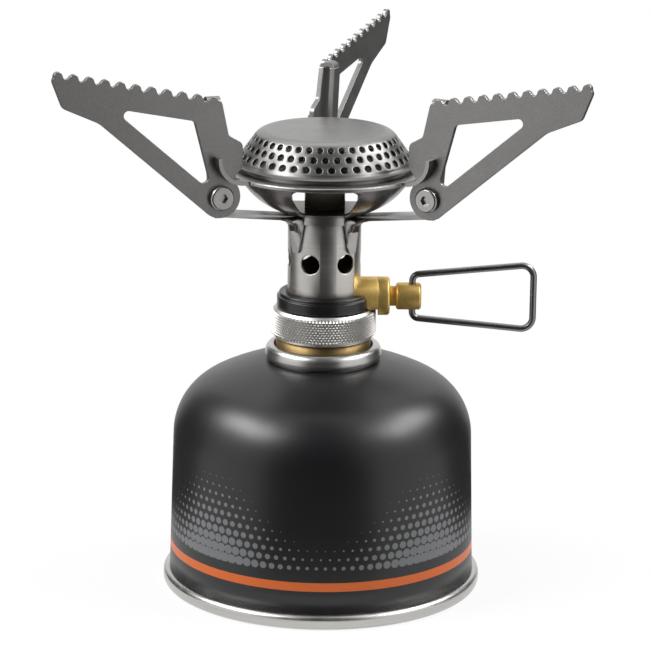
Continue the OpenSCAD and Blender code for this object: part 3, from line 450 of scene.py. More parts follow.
def printed_dots(tree, part):
    """Mask of a dot print that fades upwards round the can."""
    turn = sums(tree, "ARCTAN2", part["Y"], part["X"])
    column = sums(tree, "MULTIPLY", turn, DOTS_AROUND / math.tau)
    row = sums(tree, "DIVIDE", sums(tree, "SUBTRACT", part["Z"], DOTS_FOOT), DOT_PITCH)
    odd = sums(tree, "MULTIPLY", sums(tree, "FLOORED_MODULO", sums(tree, "FLOOR", row), 2.0), 0.5)
    across = sums(tree, "SUBTRACT", sums(tree, "FRACT", sums(tree, "ADD", column, odd)), 0.5)
    up = sums(tree, "SUBTRACT", sums(tree, "FRACT", row), 0.5)
    squares = sums(tree, "ADD", sums(tree, "POWER", across, 2.0), sums(tree, "POWER", up, 2.0))
    away = sums(tree, "SQRT", squares)
    swing = sums(tree, "COSINE", sums(tree, "MULTIPLY", turn, DOT_WAVES))
    wave = sums(tree, "MULTIPLY", swing, -DOT_WAVE_DEPTH)
    level = sums(tree, "DIVIDE", sums(tree, "MULTIPLY", sums(tree, "FLOOR", row), DOT_PITCH), DOTS_FADE)
    shrink = sums(tree, "MULTIPLY", level, DOT_SHRINK)
    size = sums(tree, "SUBTRACT", sums(tree, "ADD", DOT_RADIUS, wave), shrink)
    inside = node(tree, "ShaderNodeMapRange", {
        "Value": sums(tree, "SUBTRACT", size, away), "From Min": -DOT_BLUR, "From Max": DOT_BLUR,
    }).outputs[0]
    return sums(tree, "MULTIPLY", inside, sums(tree, "GREATER_THAN", row, 0.0))


def canister_paint():
    """Satin black paint with a plain stripe and a fading dot print."""
    material, tree, surface = new_material("canister_paint", Metallic=0.0, Specular_IOR_Level=0.5)
    place = node(tree, "ShaderNodeTexCoord").outputs["Object"]
    part = node(tree, "ShaderNodeSeparateXYZ", {0: place}).outputs
    above = sums(tree, "GREATER_THAN", part["Z"], STRIPE_LOW)
    below = sums(tree, "LESS_THAN", part["Z"], STRIPE_HIGH)
    printed = blend(tree, printed_dots(tree, part), PAINT_BLACK, INK_GREY)
    striped = blend(tree, sums(tree, "MULTIPLY", above, below), printed, STRIPE_ORANGE)
    tree.links.new(striped, surface["Base Color"])
    smudge = placed(tree, "smudges", Blotch_mm=26.0)["Smudge"]
    tree.links.new(between(tree, smudge, *PAINT_ROUGH), surface["Roughness"])
    grain = placed(tree, "sheet_grain", Grains_per_mm=2.6)["Grain"]
    bumped(tree, grain, PAINT_DEPTH, surface)
    return material


def turned_metal(name, dark, light, rough, lines_per_mm, wander, depth, shade_radius=0.0, flame_radius=1.0):
    """Metal with lines round the upright axis, painted shade, near black, inside one radius, and flamed
    outside another.
    """
    material, tree, surface = new_material(name, Metallic=1.0)
    finish = placed(tree, "turned_lines", Lines_per_mm=lines_per_mm, Wander=wander)
    lines = finish["Lines"]
    # Painted shade: inside this radius the colour turns near black, for the dark of a bore.
    shaded_bore = sums(tree, "LESS_THAN", finish["Radius"], shade_radius)
    flamed = node(tree, "ShaderNodeMapRange", {
        "Value": finish["Radius"], "From Min": flame_radius, "From Max": flame_radius + FLAME_FADE,
        "To Max": FLAME_SHARE,
    }).outputs[0]
    lined = blend(tree, flamed, blend(tree, lines, dark, light), FLAMED)
    tree.links.new(blend(tree, shaded_bore, lined, BORE_SHADE), surface["Base Color"])
    smudge = placed(tree, "smudges", Blotch_mm=9.0)["Smudge"]
    worn = sums(tree, "ADD", between(tree, lines, *LINES_ROUGH), between(tree, smudge, *rough))
    tree.links.new(worn, surface["Roughness"])
    bumped(tree, lines, depth, surface)
    return material


def sheet_metal(name, dark, light, rough, grains_per_mm, depth, scratched=0.0):
    """Rolled, tumbled or cast metal with an even fine grain."""
    material, tree, surface = new_material(name, Metallic=1.0)
    finish = placed(tree, "sheet_grain", Grains_per_mm=grains_per_mm)
    grained = blend(tree, finish["Grain"], dark, light)
    marked = blend(tree, sums(tree, "MULTIPLY", finish["Scratches"], scratched), grained, SCRATCH_STEEL)
    tree.links.new(marked, surface["Base Color"])
    smudge = placed(tree, "smudges", Blotch_mm=7.0)["Smudge"]
    worn = sums(tree, "ADD", between(tree, finish["Grain"], *GRAIN_ROUGH), between(tree, smudge, *rough))
    tree.links.new(worn, surface["Roughness"])
    bumped(tree, finish["Grain"], depth, surface)
    return material


def mottled_brass():
    """Cast and turned brass with a fine mottle, and painted shade, dark brown, where it sits below the
    knurled ring.
    """
    material, tree, surface = new_material("brass", Metallic=0.85)
    finish = placed(tree, "sheet_grain", Grains_per_mm=3.2)
    mottle = placed(tree, "smudges", Blotch_mm=1.6)["Smudge"]
    bright = blend(tree, finish["Grain"], BRASS_DARK, BRASS_LIGHT)
    worn = blend(tree, sums(tree, "MULTIPLY", mottle, BRASS_WEAR), bright, BRASS_WORN)
    place = node(tree, "ShaderNodeTexCoord").outputs["Object"]
    height = node(tree, "ShaderNodeSeparateXYZ", {0: place}).outputs["Z"]
    # Painted shade: brass lower than the knurled ring's foot turns dark brown, in place of the ring's
    # shadow.
    shaded_below_ring = sums(tree, "LESS_THAN", height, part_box("knurled_ring")[0].z)
    tree.links.new(blend(tree, shaded_below_ring, worn, BRASS_SHADE_BELOW_RING), surface["Base Color"])
    tree.links.new(between(tree, mottle, *BRASS_ROUGH), surface["Roughness"])
    bumped(tree, finish["Grain"], BRASS_DEPTH, surface)
    return material


def tinted_steel():
    """Thin steel below the flame: dark from heat, with a brown column and a bright brim."""
    material, tree, surface = new_material("tinted_steel")
    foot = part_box("burner_bowl")[0].z
    rim = foot + BOWL_RISE
    tint = placed(tree, "heat_tint", Cool_height=foot - BOWL_COOL_DROP, Hot_height=rim, Clean_height=rim)
    finish = placed(tree, "turned_lines", Lines_per_mm=2.0, Wander=1.5)
    lines = finish["Lines"]
    lined = blend(tree, sums(tree, "MULTIPLY", lines, BOWL_LINE_SHARE), tint["Tint"], BOWL_LINE_STEEL)
    burnt = sums(tree, "LESS_THAN", finish["Radius"], COLUMN_RADIUS)
    tree.links.new(blend(tree, burnt, lined, COLUMN_BROWN), surface["Base Color"])
    tree.links.new(between(tree, tint["Clean"], *BOWL_ROUGH), surface["Roughness"])
    loss = sums(tree, "MULTIPLY", burnt, COLUMN_METALLIC_LOSS)
    bare = sums(tree, "SUBTRACT", between(tree, tint["Clean"], *BOWL_METALLIC), loss)
    tree.links.new(bare, surface["Metallic"])
    bumped(tree, lines, BOWL_LINE_DEPTH, surface)
    return material


def plain_solid(name, colour, rough, grains_per_mm, depth):
    """Rubber, plastic or lacquer with a slight grain."""
    material, tree, surface = new_material(name, Metallic=0.0, Specular_IOR_Level=0.5)
    finish = placed(tree, "sheet_grain", Grains_per_mm=grains_per_mm)
    lighter = tuple(min(1.0, c * SOLID_GRAIN_GAIN + SOLID_GRAIN_LIFT) for c in colour)
    tree.links.new(blend(tree, finish["Grain"], colour, lighter), surface["Base Color"])
    smudge = placed(tree, "smudges", Blotch_mm=6.0)["Smudge"]
    tree.links.new(between(tree, smudge, *rough), surface["Roughness"])
    bumped(tree, finish["Grain"], depth, surface)
    return material


def all_materials():
    """One material for each of the record's slots."""
    return {
        "canister_paint": canister_paint(),
        "tin_steel": turned_metal(
            "tin_steel", dark=(0.44, 0.435, 0.42), light=(0.56, 0.55, 0.53), rough=(0.24, 0.36),
            lines_per_mm=2.2, wander=0.8, depth=0.004 * MM,
        ),
        "brass": mottled_brass(),
        "seal_rubber": plain_solid(
            "seal_rubber", colour=(0.018, 0.018, 0.018), rough=(0.6, 0.75),
            grains_per_mm=3.0, depth=0.01 * MM,
        ),
        "valve_plastic": plain_solid(
            "valve_plastic", colour=(0.62, 0.61, 0.58), rough=(0.4, 0.5),
            grains_per_mm=2.0, depth=0.004 * MM,
        ),
        "spring_steel": sheet_metal(
            "spring_steel", dark=(0.42, 0.42, 0.42), light=(0.52, 0.52, 0.52), rough=(0.25, 0.35),
            grains_per_mm=3.0, depth=0.003 * MM,
        ),
        "knurled_steel": sheet_metal(
            "knurled_steel", dark=(0.54, 0.528, 0.51), light=(0.68, 0.665, 0.64), rough=(0.42, 0.52),
            grains_per_mm=3.0, depth=0.006 * MM,
        ),
        "collar_black": plain_solid(
            "collar_black", colour=(0.005, 0.005, 0.006), rough=(0.27, 0.34),
            grains_per_mm=3.0, depth=0.003 * MM,
        ),
        "tube_steel": turned_metal(
            "tube_steel", dark=(0.47, 0.453, 0.43), light=(0.58, 0.562, 0.535), rough=(0.33, 0.41),
            lines_per_mm=3.0, wander=0.5, depth=0.004 * MM, shade_radius=TUBE_BORE_SHADE_RADIUS,
        ),
        "bracket_steel": sheet_metal(
            "bracket_steel", dark=(0.34, 0.333, 0.325), light=(0.46, 0.452, 0.444), rough=(0.28, 0.40),
            grains_per_mm=3.4, depth=0.006 * MM, scratched=0.05,
        ),
        "tinted_steel": tinted_steel(),
        "cap_steel": turned_metal(
            "cap_steel", dark=(0.215, 0.212, 0.208), light=(0.285, 0.282, 0.278), rough=(0.32, 0.42),
            lines_per_mm=2.4, wander=0.6, depth=0.005 * MM, flame_radius=CAP_TOP_RADIUS,
        ),
        "fastener_steel": sheet_metal(
            "fastener_steel", dark=(0.36, 0.352, 0.34), light=(0.46, 0.45, 0.44), rough=(0.26, 0.36),
            grains_per_mm=3.0, depth=0.004 * MM,
        ),
        "wire_steel": sheet_metal(
            "wire_steel", dark=(0.20, 0.195, 0.19), light=(0.27, 0.264, 0.257), rough=(0.28, 0.36),
            grains_per_mm=3.0, depth=0.003 * MM,
        ),
        "arm_steel": sheet_metal(
            "arm_steel", dark=(0.19, 0.184, 0.18), light=(0.32, 0.313, 0.307), rough=(0.34, 0.46),
            grains_per_mm=3.0, depth=0.010 * MM, scratched=0.04,
        ),
    }


# Mesh helpers

SLOT_OF = {row["node"]: row["material_slot"] for row in frame["record"]["subparts"]}
BODY_OF = {n: body for body, members in frame["record"]["behaviour"]["bodies"].items() for n in members}
JOIN_NEAR = 0.002 * MM
SLIVER = 0.001 * MM
SEAM = 0.01 * MM
FLAT_WITHIN = 0.2
ROUNDED_BEYOND = 32
SHARP_BEYOND = 42
TURNED_SHARP_BEYOND = 50


def piece(name, mesh, body, slot, *stands_for):
    """Finished piece that rides on a body, has a slot's finish and may stand for CAD nodes."""
    mesh.materials.clear()
    mesh.materials.append(MATERIALS[slot])
    made = bpy.data.objects.new(name, mesh)
    bpy.context.scene.collection.objects.link(made)
    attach(made, body)
    if stands_for:
        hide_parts(*stands_for)


def plain_mesh(obj):
    """Mesh of an object with its modifiers worked in."""
    bpy.context.view_layer.update()
    evaluated = obj.evaluated_get(bpy.context.evaluated_depsgraph_get())
    mesh = bpy.data.meshes.new_from_object(evaluated)
    obj.modifiers.clear()
    bpy.data.objects.remove(obj)
    return mesh


def smooth(mesh, angle):
    """Smooth shading that keeps edges sharper than an angle."""
    mesh.polygons.foreach_set("use_smooth", [True] * len(mesh.polygons))
    mesh.set_sharp_from_angle(angle=math.radians(angle))


def mesh_from(bm, name, sharp_beyond):
    """Smooth mesh of a finished edit."""
    mesh = bpy.data.meshes.new(name)
    bm.to_mesh(mesh)
    bm.free()
    smooth(mesh, sharp_beyond)
    return mesh


def sewn(bm):
    """Joins the pieces of an edit at their seams and turns its faces outwards."""
    bmesh.ops.remove_doubles(bm, verts=bm.verts, dist=SEAM)
    bmesh.ops.recalc_face_normals(bm, faces=bm.faces)


def softened(cad_node, edge=0.0, flat=False):
    """Copy of a CAD node with its vertices joined and, where asked, flat faces merged and edges rounded."""
    bm = bmesh.new()
    bm.from_mesh(frame["nodes"][cad_node].data)
    bmesh.ops.remove_doubles(bm, verts=bm.verts, dist=JOIN_NEAR)
    bmesh.ops.dissolve_degenerate(bm, dist=SLIVER, edges=bm.edges)
    if flat:
        bmesh.ops.dissolve_limit(bm, angle_limit=math.radians(FLAT_WITHIN), verts=bm.verts, edges=bm.edges)
    if edge:
        bend = math.radians(ROUNDED_BEYOND)
        sharp = [e for e in bm.edges if len(e.link_faces) == 2 and e.calc_face_angle() > bend]
        bmesh.ops.bevel(
            bm, geom=sharp, offset=edge, offset_type="OFFSET", segments=2, profile=0.5,
            affect="EDGES", clamp_overlap=False,
        )
    return mesh_from(bm, cad_node + "_dressed", SHARP_BEYOND)


def weighted(mesh):
    """Mesh whose shading follows its large faces, so that flat sheets stay flat up to their edges."""
    holder = bpy.data.objects.new("weighted", mesh)
    bpy.context.scene.collection.objects.link(holder)
    holder.modifiers.new("weighted", "WEIGHTED_NORMAL").keep_sharp = True
    return plain_mesh(holder)


def dress(cad_node, edge=0.0, flat=False):
    """Softened copy of a CAD node in that node's place."""
    mesh = softened(cad_node, edge, flat)
    if flat:
        mesh = weighted(mesh)
    piece(cad_node + "_finish", mesh, BODY_OF[cad_node], SLOT_OF[cad_node], cad_node)


def arc(centre, radius, start, end, steps):
    """Points (radius, height) on an arc, in degrees from the outward direction."""
    turns = [math.radians(start + (end - start) * k / steps) for k in range(steps + 1)]
    return [(centre[0] + radius * math.cos(t), centre[1] + radius * math.sin(t)) for t in turns]


def lathe(bm, outline, segments):
    """Turns an outline of (radius, height) points round the upright axis."""
    turns = [math.tau * k / segments for k in range(segments)]
    rings = []
    for radius, height in outline:
        if radius < SLIVER:
            rings.append([bm.verts.new((0, 0, height))])
            continue
        rings.append([bm.verts.new((radius * math.cos(t), radius * math.sin(t), height)) for t in turns])
    for low, high in zip(rings, rings[1:]):
        for k in range(segments):
            n = (k + 1) % segments
            if len(low) == 1:
                bm.faces.new((low[0], high[n], high[k]))
            elif len(high) == 1:
                bm.faces.new((low[k], low[n], high[0]))
            else:
                bm.faces.new((low[k], low[n], high[n], high[k]))


# Geometry node helpers

def geometry_tree(name, inputs):
    """Empty geometry tree with named inputs and a geometry output."""
    tree = bpy.data.node_groups.new(name, "GeometryNodeTree")
    for label, kind in inputs.items():
        tree.interface.new_socket(label, in_out="INPUT", socket_type="NodeSocket" + kind)
    tree.interface.new_socket("Geometry", in_out="OUTPUT", socket_type="NodeSocketGeometry")
    return tree, node(tree, "NodeGroupInput").outputs, node(tree, "NodeGroupOutput").inputs


def run_tree(tree, values):
    """Mesh that a geometry tree makes from named values."""
    holder = bpy.data.objects.new(tree.name, bpy.data.meshes.new(tree.name))
    bpy.context.scene.collection.objects.link(holder)
    modifier = holder.modifiers.new(tree.name, "NODES")
    modifier.node_group = tree
    for item in tree.interface.items_tree:
        if item.in_out == "INPUT":
            modifier[item.identifier] = values[item.name]
    return plain_mesh(holder)


def finished(tree, geometry, material, out):
    """Ends a geometry tree with real geometry and its material."""
    real = node(tree, "GeometryNodeRealizeInstances", {0: geometry}).outputs[0]
    made = node(tree, "GeometryNodeSetMaterial", {"Geometry": real, "Material": material}).outputs[0]
    tree.links.new(made, out["Geometry"])


# Knurled ring

KNURL_AROUND = 92
KNURL_ROWS = 9
KNURL_DEPTH = 0.55 * MM
KNURL_MARGIN = 0.75 * MM
KNURL_TIP = 0.12
KNURL_SHARP_BEYOND = 20
RING_CHAMFER = 0.8 * MM
RING_FOOT_CUT = 0.7
RING_TOP_CUT = 0.9
RING_EASE_IN = 0.05 * MM
RING_EASE_UP = 0.1 * MM
RING_INNER_FOOT = 16.4 * MM
RING_INNER_TOP = 12.9 * MM


def knurl_tree():
    """Pyramids in staggered rows round a band."""
    tree, given, out = geometry_tree("diamond_knurl", {
        "Around": "Int", "Rows": "Int", "Radius": "Float", "Foot": "Float",
        "Row pitch": "Float", "Depth": "Float", "Finish": "Material",
    })
    count = sums(tree, "MULTIPLY", given["Around"], given["Rows"])
    index = node(tree, "GeometryNodeInputIndex").outputs[0]
    row = sums(tree, "FLOOR", sums(tree, "DIVIDE", sums(tree, "ADD", index, 0.5), given["Around"]))
    stagger = sums(tree, "MULTIPLY", sums(tree, "FLOORED_MODULO", row, 2.0), 0.5)
    step = sums(tree, "DIVIDE", math.tau, given["Around"])
    turn = sums(tree, "MULTIPLY", sums(tree, "ADD", index, stagger), step)
    outward = node(tree, "ShaderNodeCombineXYZ", {
        "X": sums(tree, "COSINE", turn), "Y": sums(tree, "SINE", turn),
    }).outputs[0]
    rise = sums(tree, "MULTIPLY", sums(tree, "ADD", row, 1.0), given["Row pitch"])
    up = sums(tree, "ADD", given["Foot"], rise)
    spread = node(tree, "ShaderNodeVectorMath", {0: outward, "Scale": given["Radius"]}, operation="SCALE")
    raised = node(tree, "ShaderNodeCombineXYZ", {"Z": up}).outputs[0]
    place = node(tree, "ShaderNodeVectorMath", {0: spread.outputs[0], 1: raised}, operation="ADD")
    points = node(tree, "GeometryNodePoints", {"Count": count, "Position": place.outputs[0]}).outputs[0]
    facing = node(tree, "FunctionNodeAxesToRotation", {
        "Primary Axis": outward, "Secondary Axis": (0.0, 0.0, 1.0),
    }, primary_axis="Z", secondary_axis="Y").outputs[0]
    cone = node(tree, "GeometryNodeMeshCone", {
        "Vertices": 4, "Radius Top": KNURL_TIP, "Radius Bottom": 1.0, "Depth": 1.0,
    }).outputs["Mesh"]
    half_width = sums(tree, "MULTIPLY", sums(tree, "MULTIPLY", step, 0.5), given["Radius"])
    size = node(tree, "ShaderNodeCombineXYZ", {
        "X": half_width, "Y": given["Row pitch"], "Z": given["Depth"],
    })
    diamonds = node(tree, "GeometryNodeInstanceOnPoints", {
        "Points": points, "Instance": cone, "Rotation": facing, "Scale": size.outputs[0],
    }).outputs[0]
    finished(tree, diamonds, given["Finish"], out)
    return tree


def knurled_ring():
    """Chamfered ring with a diamond knurl on its band."""
    low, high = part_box("knurled_ring")
    core = high.x - KNURL_DEPTH
    foot, top = low.z, high.z
    band = top - foot - 2 * KNURL_MARGIN
    knurl = run_tree(knurl_tree(), {
        "Around": KNURL_AROUND, "Rows": KNURL_ROWS, "Radius": core, "Foot": foot + KNURL_MARGIN,
        "Row pitch": band / (KNURL_ROWS + 1), "Depth": KNURL_DEPTH, "Finish": MATERIALS["knurled_steel"],
    })
    bm = bmesh.new()
    bm.from_mesh(knurl)
    edge = RING_CHAMFER
    lathe(bm, [
        (RING_INNER_FOOT, foot + 2 * edge),
        (RING_INNER_FOOT, foot),
        (core - edge * RING_FOOT_CUT, foot),
        (core - RING_EASE_IN, foot + edge),
        (core, foot + edge + RING_EASE_UP),
        (core, top - edge - RING_EASE_UP),
        (core - RING_EASE_IN, top - edge),
        (core - edge * RING_TOP_CUT, top),
        (RING_INNER_TOP, top),
        (RING_INNER_TOP, top - 2 * edge),
    ], 2 * KNURL_AROUND)
    mesh = mesh_from(bm, "knurled_band", KNURL_SHARP_BEYOND)
    piece("knurled_band", mesh, "coupling", "knurled_steel", "knurled_ring")


# Burner cap

FLAME_AROUND = 42
FLAME_ROWS = 3
FLAME_RADIUS = 1.15 * MM
FLAME_RIM = 0.16 * MM
FLAME_RIM_ROUND = 0.3
FLAME_FIRST_UP = 3.9 * MM
FLAME_RISE = 2.9 * MM
CAP_SHEET = 0.9 * MM
CAP_FLARE_UP = 2.0 * MM
CAP_FLARE_IN = 1.15 * MM
CAP_TOP_RADIUS = 22.6 * MM
CAP_ROUND = 5.0 * MM
CAP_BEND_STEPS = 8
CAP_TOP_RINGS = (0.75, 0.5, 0.25, 0)
CAP_LIP_WIDTH = 2.6 * MM
CAP_LIP_FOOT_IN = 0.4 * MM
CAP_LIP_BEND_IN = 0.1 * MM
CAP_LIP_BEND_UP = 0.12 * MM
CAP_LIP_SIDE_UP = 0.4 * MM
CAP_LIP_EASE = 0.2 * MM
CAP_FLARE_FOOT_UP = 0.9 * MM
CAP_FLARE_PULL_OUT = 0.35 * MM
CAP_FLARE_PULL_UP = 1.4 * MM
CAP_FLARE_STEPS = 7
CELL_POINTS = 16


def border_point(k):
    """Point k on the border of a cell that reaches from -0.5 to 0.5 each way."""
    half = CELL_POINTS // 2
    quarter = CELL_POINTS // 4

    def wave(step):
        away = abs((step + half) % CELL_POINTS - half)
        return max(-0.5, min(0.5, 1 - away / quarter))

    return wave(k), wave(k - quarter)


def flame_cell(pitch_around, pitch_up):
    """Patch of sheet with one round hole: cells across and up, metres deep."""
    bm = bmesh.new()
    border = [border_point(k) for k in range(CELL_POINTS)]
    turns = [math.tau * k / CELL_POINTS for k in range(CELL_POINTS)]

    def circle(radius):
        return [(radius * math.cos(t) / pitch_around, radius * math.sin(t) / pitch_up) for t in turns]

    rim = circle(FLAME_RADIUS + FLAME_RIM)
    middle = [((a + c) / 2, (b + d) / 2) for (a, b), (c, d) in zip(border, rim)]
    hole = circle(FLAME_RADIUS)
    bulge = FLAME_RIM_ROUND * FLAME_RIM
    rounded = circle(FLAME_RADIUS + bulge)
    levels = [
        (border, 0.0), (middle, 0.0), (rim, 0.0), (rounded, -bulge),
        (hole, -FLAME_RIM), (hole, -CAP_SHEET), (border, -CAP_SHEET),
    ]
    rings = [[bm.verts.new((x, y, depth)) for x, y in points] for points, depth in levels]
    for outer, inner in zip(rings, rings[1:]):
        for k in range(CELL_POINTS):
            n = (k + 1) % CELL_POINTS
            bm.faces.new((outer[k], outer[n], inner[n], inner[k]))
    mesh = bpy.data.meshes.new("flame_cell")
    bm.to_mesh(mesh)
    bm.free()
    cell = bpy.data.objects.new("flame_cell", mesh)
    bpy.context.scene.collection.objects.link(cell)
    return cell


def perforation_tree():
    """Rows of staggered cells, wrapped round a cone whose upper part bends inwards."""
    tree, given, out = geometry_tree("flame_perforation", {
        "Cell": "Object", "Around": "Int", "Rows": "Int", "Row pitch": "Float", "Slope": "Float",
        "Bend start": "Float", "Bend radius": "Float", "Centre radius": "Float", "Centre height": "Float",
        "Finish": "Material",
    })
    index = node(tree, "GeometryNodeInputIndex").outputs[0]
    count = sums(tree, "MULTIPLY", given["Around"], given["Rows"])
    row = sums(tree, "FLOOR", sums(tree, "DIVIDE", sums(tree, "ADD", index, 0.5), given["Around"]))
    stagger = sums(tree, "MULTIPLY", sums(tree, "FLOORED_MODULO", row, 2.0), 0.5)
    spot = node(tree, "ShaderNodeCombineXYZ", {"X": sums(tree, "ADD", index, stagger), "Y": row}).outputs[0]
    points = node(tree, "GeometryNodePoints", {"Count": count, "Position": spot}).outputs[0]
    cell = node(tree, "GeometryNodeObjectInfo", {"Object": given["Cell"]}).outputs["Geometry"]
    cells = node(tree, "GeometryNodeInstanceOnPoints", {"Points": points, "Instance": cell}).outputs[0]
    real = node(tree, "GeometryNodeRealizeInstances", {0: cells}).outputs[0]
    place = node(tree, "GeometryNodeInputPosition").outputs[0]
    part = node(tree, "ShaderNodeSeparateXYZ", {0: place}).outputs
    turn = sums(tree, "MULTIPLY", part["X"], sums(tree, "DIVIDE", math.tau, given["Around"]))
    run = sums(tree, "MULTIPLY", part["Y"], given["Row pitch"])
    along = sums(tree, "SUBTRACT", run, given["Bend start"])
    bent = sums(tree, "MAXIMUM", along, 0.0)
    straight = sums(tree, "MINIMUM", along, 0.0)
    facing = sums(tree, "ADD", given["Slope"], sums(tree, "DIVIDE", bent, given["Bend radius"]))
    reach = sums(tree, "ADD", given["Bend radius"], part["Z"])
    outward = sums(tree, "MULTIPLY", reach, sums(tree, "COSINE", facing))
    inward = sums(tree, "MULTIPLY", straight, sums(tree, "SINE", given["Slope"]))
    radius = sums(tree, "ADD", given["Centre radius"], sums(tree, "SUBTRACT", outward, inward))
    climb = sums(tree, "MULTIPLY", straight, sums(tree, "COSINE", given["Slope"]))
    upward = sums(tree, "ADD", sums(tree, "MULTIPLY", reach, sums(tree, "SINE", facing)), climb)
    wrapped = node(tree, "ShaderNodeCombineXYZ", {
        "X": sums(tree, "MULTIPLY", radius, sums(tree, "COSINE", turn)),
        "Y": sums(tree, "MULTIPLY", radius, sums(tree, "SINE", turn)),
        "Z": sums(tree, "ADD", given["Centre height"], upward),
    }).outputs[0]
    cone = node(tree, "GeometryNodeSetPosition", {"Geometry": real, "Position": wrapped}).outputs[0]
    finished(tree, cone, given["Finish"], out)
    return tree


def curve_between(start, pull, end, steps):
    """Points on a curve from start to end that is pulled towards a third point."""
    shares = [k / steps for k in range(steps + 1)]
    return [
        tuple((1 - t) ** 2 * a + 2 * t * (1 - t) * b + t * t * c for a, b, c in zip(start, pull, end))
        for t in shares
    ]


def burner_cap():
    """Pressed cap: perforated side, rounded flat top and flared lip in one mesh."""
    low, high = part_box("burner_cap")
    lip = high.x
    flare = lip - CAP_FLARE_IN
    top = high.z
    slope = math.atan2(flare - CAP_TOP_RADIUS, top - low.z - CAP_FLARE_UP)
    sine, cosine = math.sin(slope), math.cos(slope)
    first_radius = flare - (FLAME_FIRST_UP - CAP_FLARE_UP) * math.tan(slope)
    first_height = low.z + FLAME_FIRST_UP
    row_pitch = FLAME_RISE / cosine
    bend_start = (top - first_height) / cosine - CAP_ROUND * math.tan(math.pi / 4 - slope / 2)
    middle_radius = first_radius - row_pitch * sine
    cell = flame_cell(math.tau * middle_radius / FLAME_AROUND, row_pitch)

    def on_side(along, depth):
        return (first_radius - along * sine + depth * cosine, first_height + along * cosine + depth * sine)

    centre = on_side(bend_start, -CAP_ROUND)
    side = run_tree(perforation_tree(), {
        "Cell": cell, "Around": FLAME_AROUND, "Rows": FLAME_ROWS, "Row pitch": row_pitch, "Slope": slope,
        "Bend start": bend_start, "Bend radius": CAP_ROUND, "Centre radius": centre[0],
        "Centre height": centre[1], "Finish": MATERIALS["cap_steel"],
    })
    bpy.data.objects.remove(cell)
    bm = bmesh.new()
    bm.from_mesh(side)
    segments = 4 * FLAME_AROUND
    cells_end = (FLAME_ROWS - 0.5) * row_pitch
    steep = math.degrees(slope + (cells_end - bend_start) / CAP_ROUND)
    over = arc(centre, CAP_ROUND, steep, 90, CAP_BEND_STEPS)
    under = arc(centre, CAP_ROUND - CAP_SHEET, 90, steep, CAP_BEND_STEPS)
    rings_in = [centre[0] * share for share in CAP_TOP_RINGS]
    lathe(bm, over + [(r, top) for r in rings_in], segments)
    lathe(bm, [(r, top - CAP_SHEET) for r in reversed(rings_in)] + under, segments)
    foot = low.z
    edge_out = on_side(-row_pitch / 2, 0)
    edge_in = on_side(-row_pitch / 2, -CAP_SHEET)
    lip_in = lip - CAP_LIP_WIDTH
    flare_foot = (lip, foot + CAP_FLARE_FOOT_UP)
    flare_pull = (edge_out[0] + CAP_FLARE_PULL_OUT, foot + CAP_FLARE_PULL_UP)
    lathe(bm, [
        edge_in,
        (lip_in + CAP_LIP_EASE, foot + CAP_FLARE_UP),
        (lip_in, foot + CAP_FLARE_UP - CAP_LIP_EASE),
        (lip_in, foot),
        (lip - CAP_LIP_FOOT_IN, foot),
        (lip - CAP_LIP_BEND_IN, foot + CAP_LIP_BEND_UP),
        (lip, foot + CAP_LIP_SIDE_UP),
        *curve_between(flare_foot, flare_pull, edge_out, CAP_FLARE_STEPS),
    ], segments)
    sewn(bm)
    mesh = mesh_from(bm, "flame_cap", TURNED_SHARP_BEYOND)
    piece("flame_cap", mesh, "stove", "cap_steel", "burner_cap")


# Cup on the canister's crown

CUP_WALL = 3.1 * MM
CUP_FLOOR_UP = 1.4 * MM
CUP_HOLE_RADIUS = 5.6 * MM
CUP_BULGE_UP = 2.3 * MM
CUP_TUCK = 1.2 * MM
CUP_TUCK_UP = 0.2 * MM
CUP_BELLY_UP = 0.5 * MM
CUP_TOP_PULL_IN = 0.1 * MM
CUP_LIP = 0.5 * MM
CUP_FLOOR_EASE = 0.3 * MM
CUP_SHEET = 1 * MM
CUP_SEGMENTS = 160
CUP_BELLY_STEPS = 6
CUP_BEAD_STEPS = 10
CUP_LIP_STEPS = 4


def valve_cup():
    """Cup with a rolled outer bead, tucked in at its foot."""
    low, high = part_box("valve_cup")
    outer, foot, top = high.x, low.z, high.z
    inner = outer - CUP_WALL
    floor = foot + CUP_FLOOR_UP
    bulge = (outer, foot + CUP_BULGE_UP)
    tuck = (outer - CUP_TUCK, foot + CUP_TUCK_UP)
    lip_start = (inner + CUP_LIP, top)
    lip_centre = (inner + CUP_LIP, top - CUP_LIP)
    skirt = inner - CUP_SHEET
    bm = bmesh.new()
    lathe(bm, [
        (skirt, foot),
        (tuck[0], foot),
        *curve_between(tuck, (outer, foot + CUP_BELLY_UP), bulge, CUP_BELLY_STEPS),
        *curve_between(bulge, (outer - CUP_TOP_PULL_IN, top), lip_start, CUP_BEAD_STEPS)[1:],
        *arc(lip_centre, CUP_LIP, 90, 180, CUP_LIP_STEPS)[1:],
        (inner, floor + CUP_FLOOR_EASE),
        (inner - CUP_FLOOR_EASE, floor),
        (CUP_HOLE_RADIUS, floor),
        (CUP_HOLE_RADIUS, floor - CUP_SHEET),
        (skirt, floor - CUP_SHEET),
        (skirt, foot),
    ], CUP_SEGMENTS)
    sewn(bm)
    mesh = mesh_from(bm, "beaded_cup", TURNED_SHARP_BEYOND)
    piece("beaded_cup", mesh, BODY_OF["valve_cup"], "tin_steel", "valve_cup")


# Wire handle

HANDLE_INNER_HALF = 7.6 * MM
HANDLE_INNER_BEND = 2.4 * MM
HANDLE_OUTER_BEND = 4.0 * MM
HANDLE_END_HALF = 4.8 * MM
HANDLE_PIN_HALF = 2.0 * MM
HANDLE_PIN_STEP = 0.1 * MM
HANDLE_SIDES = 20
HANDLE_BEND_STEPS = 12


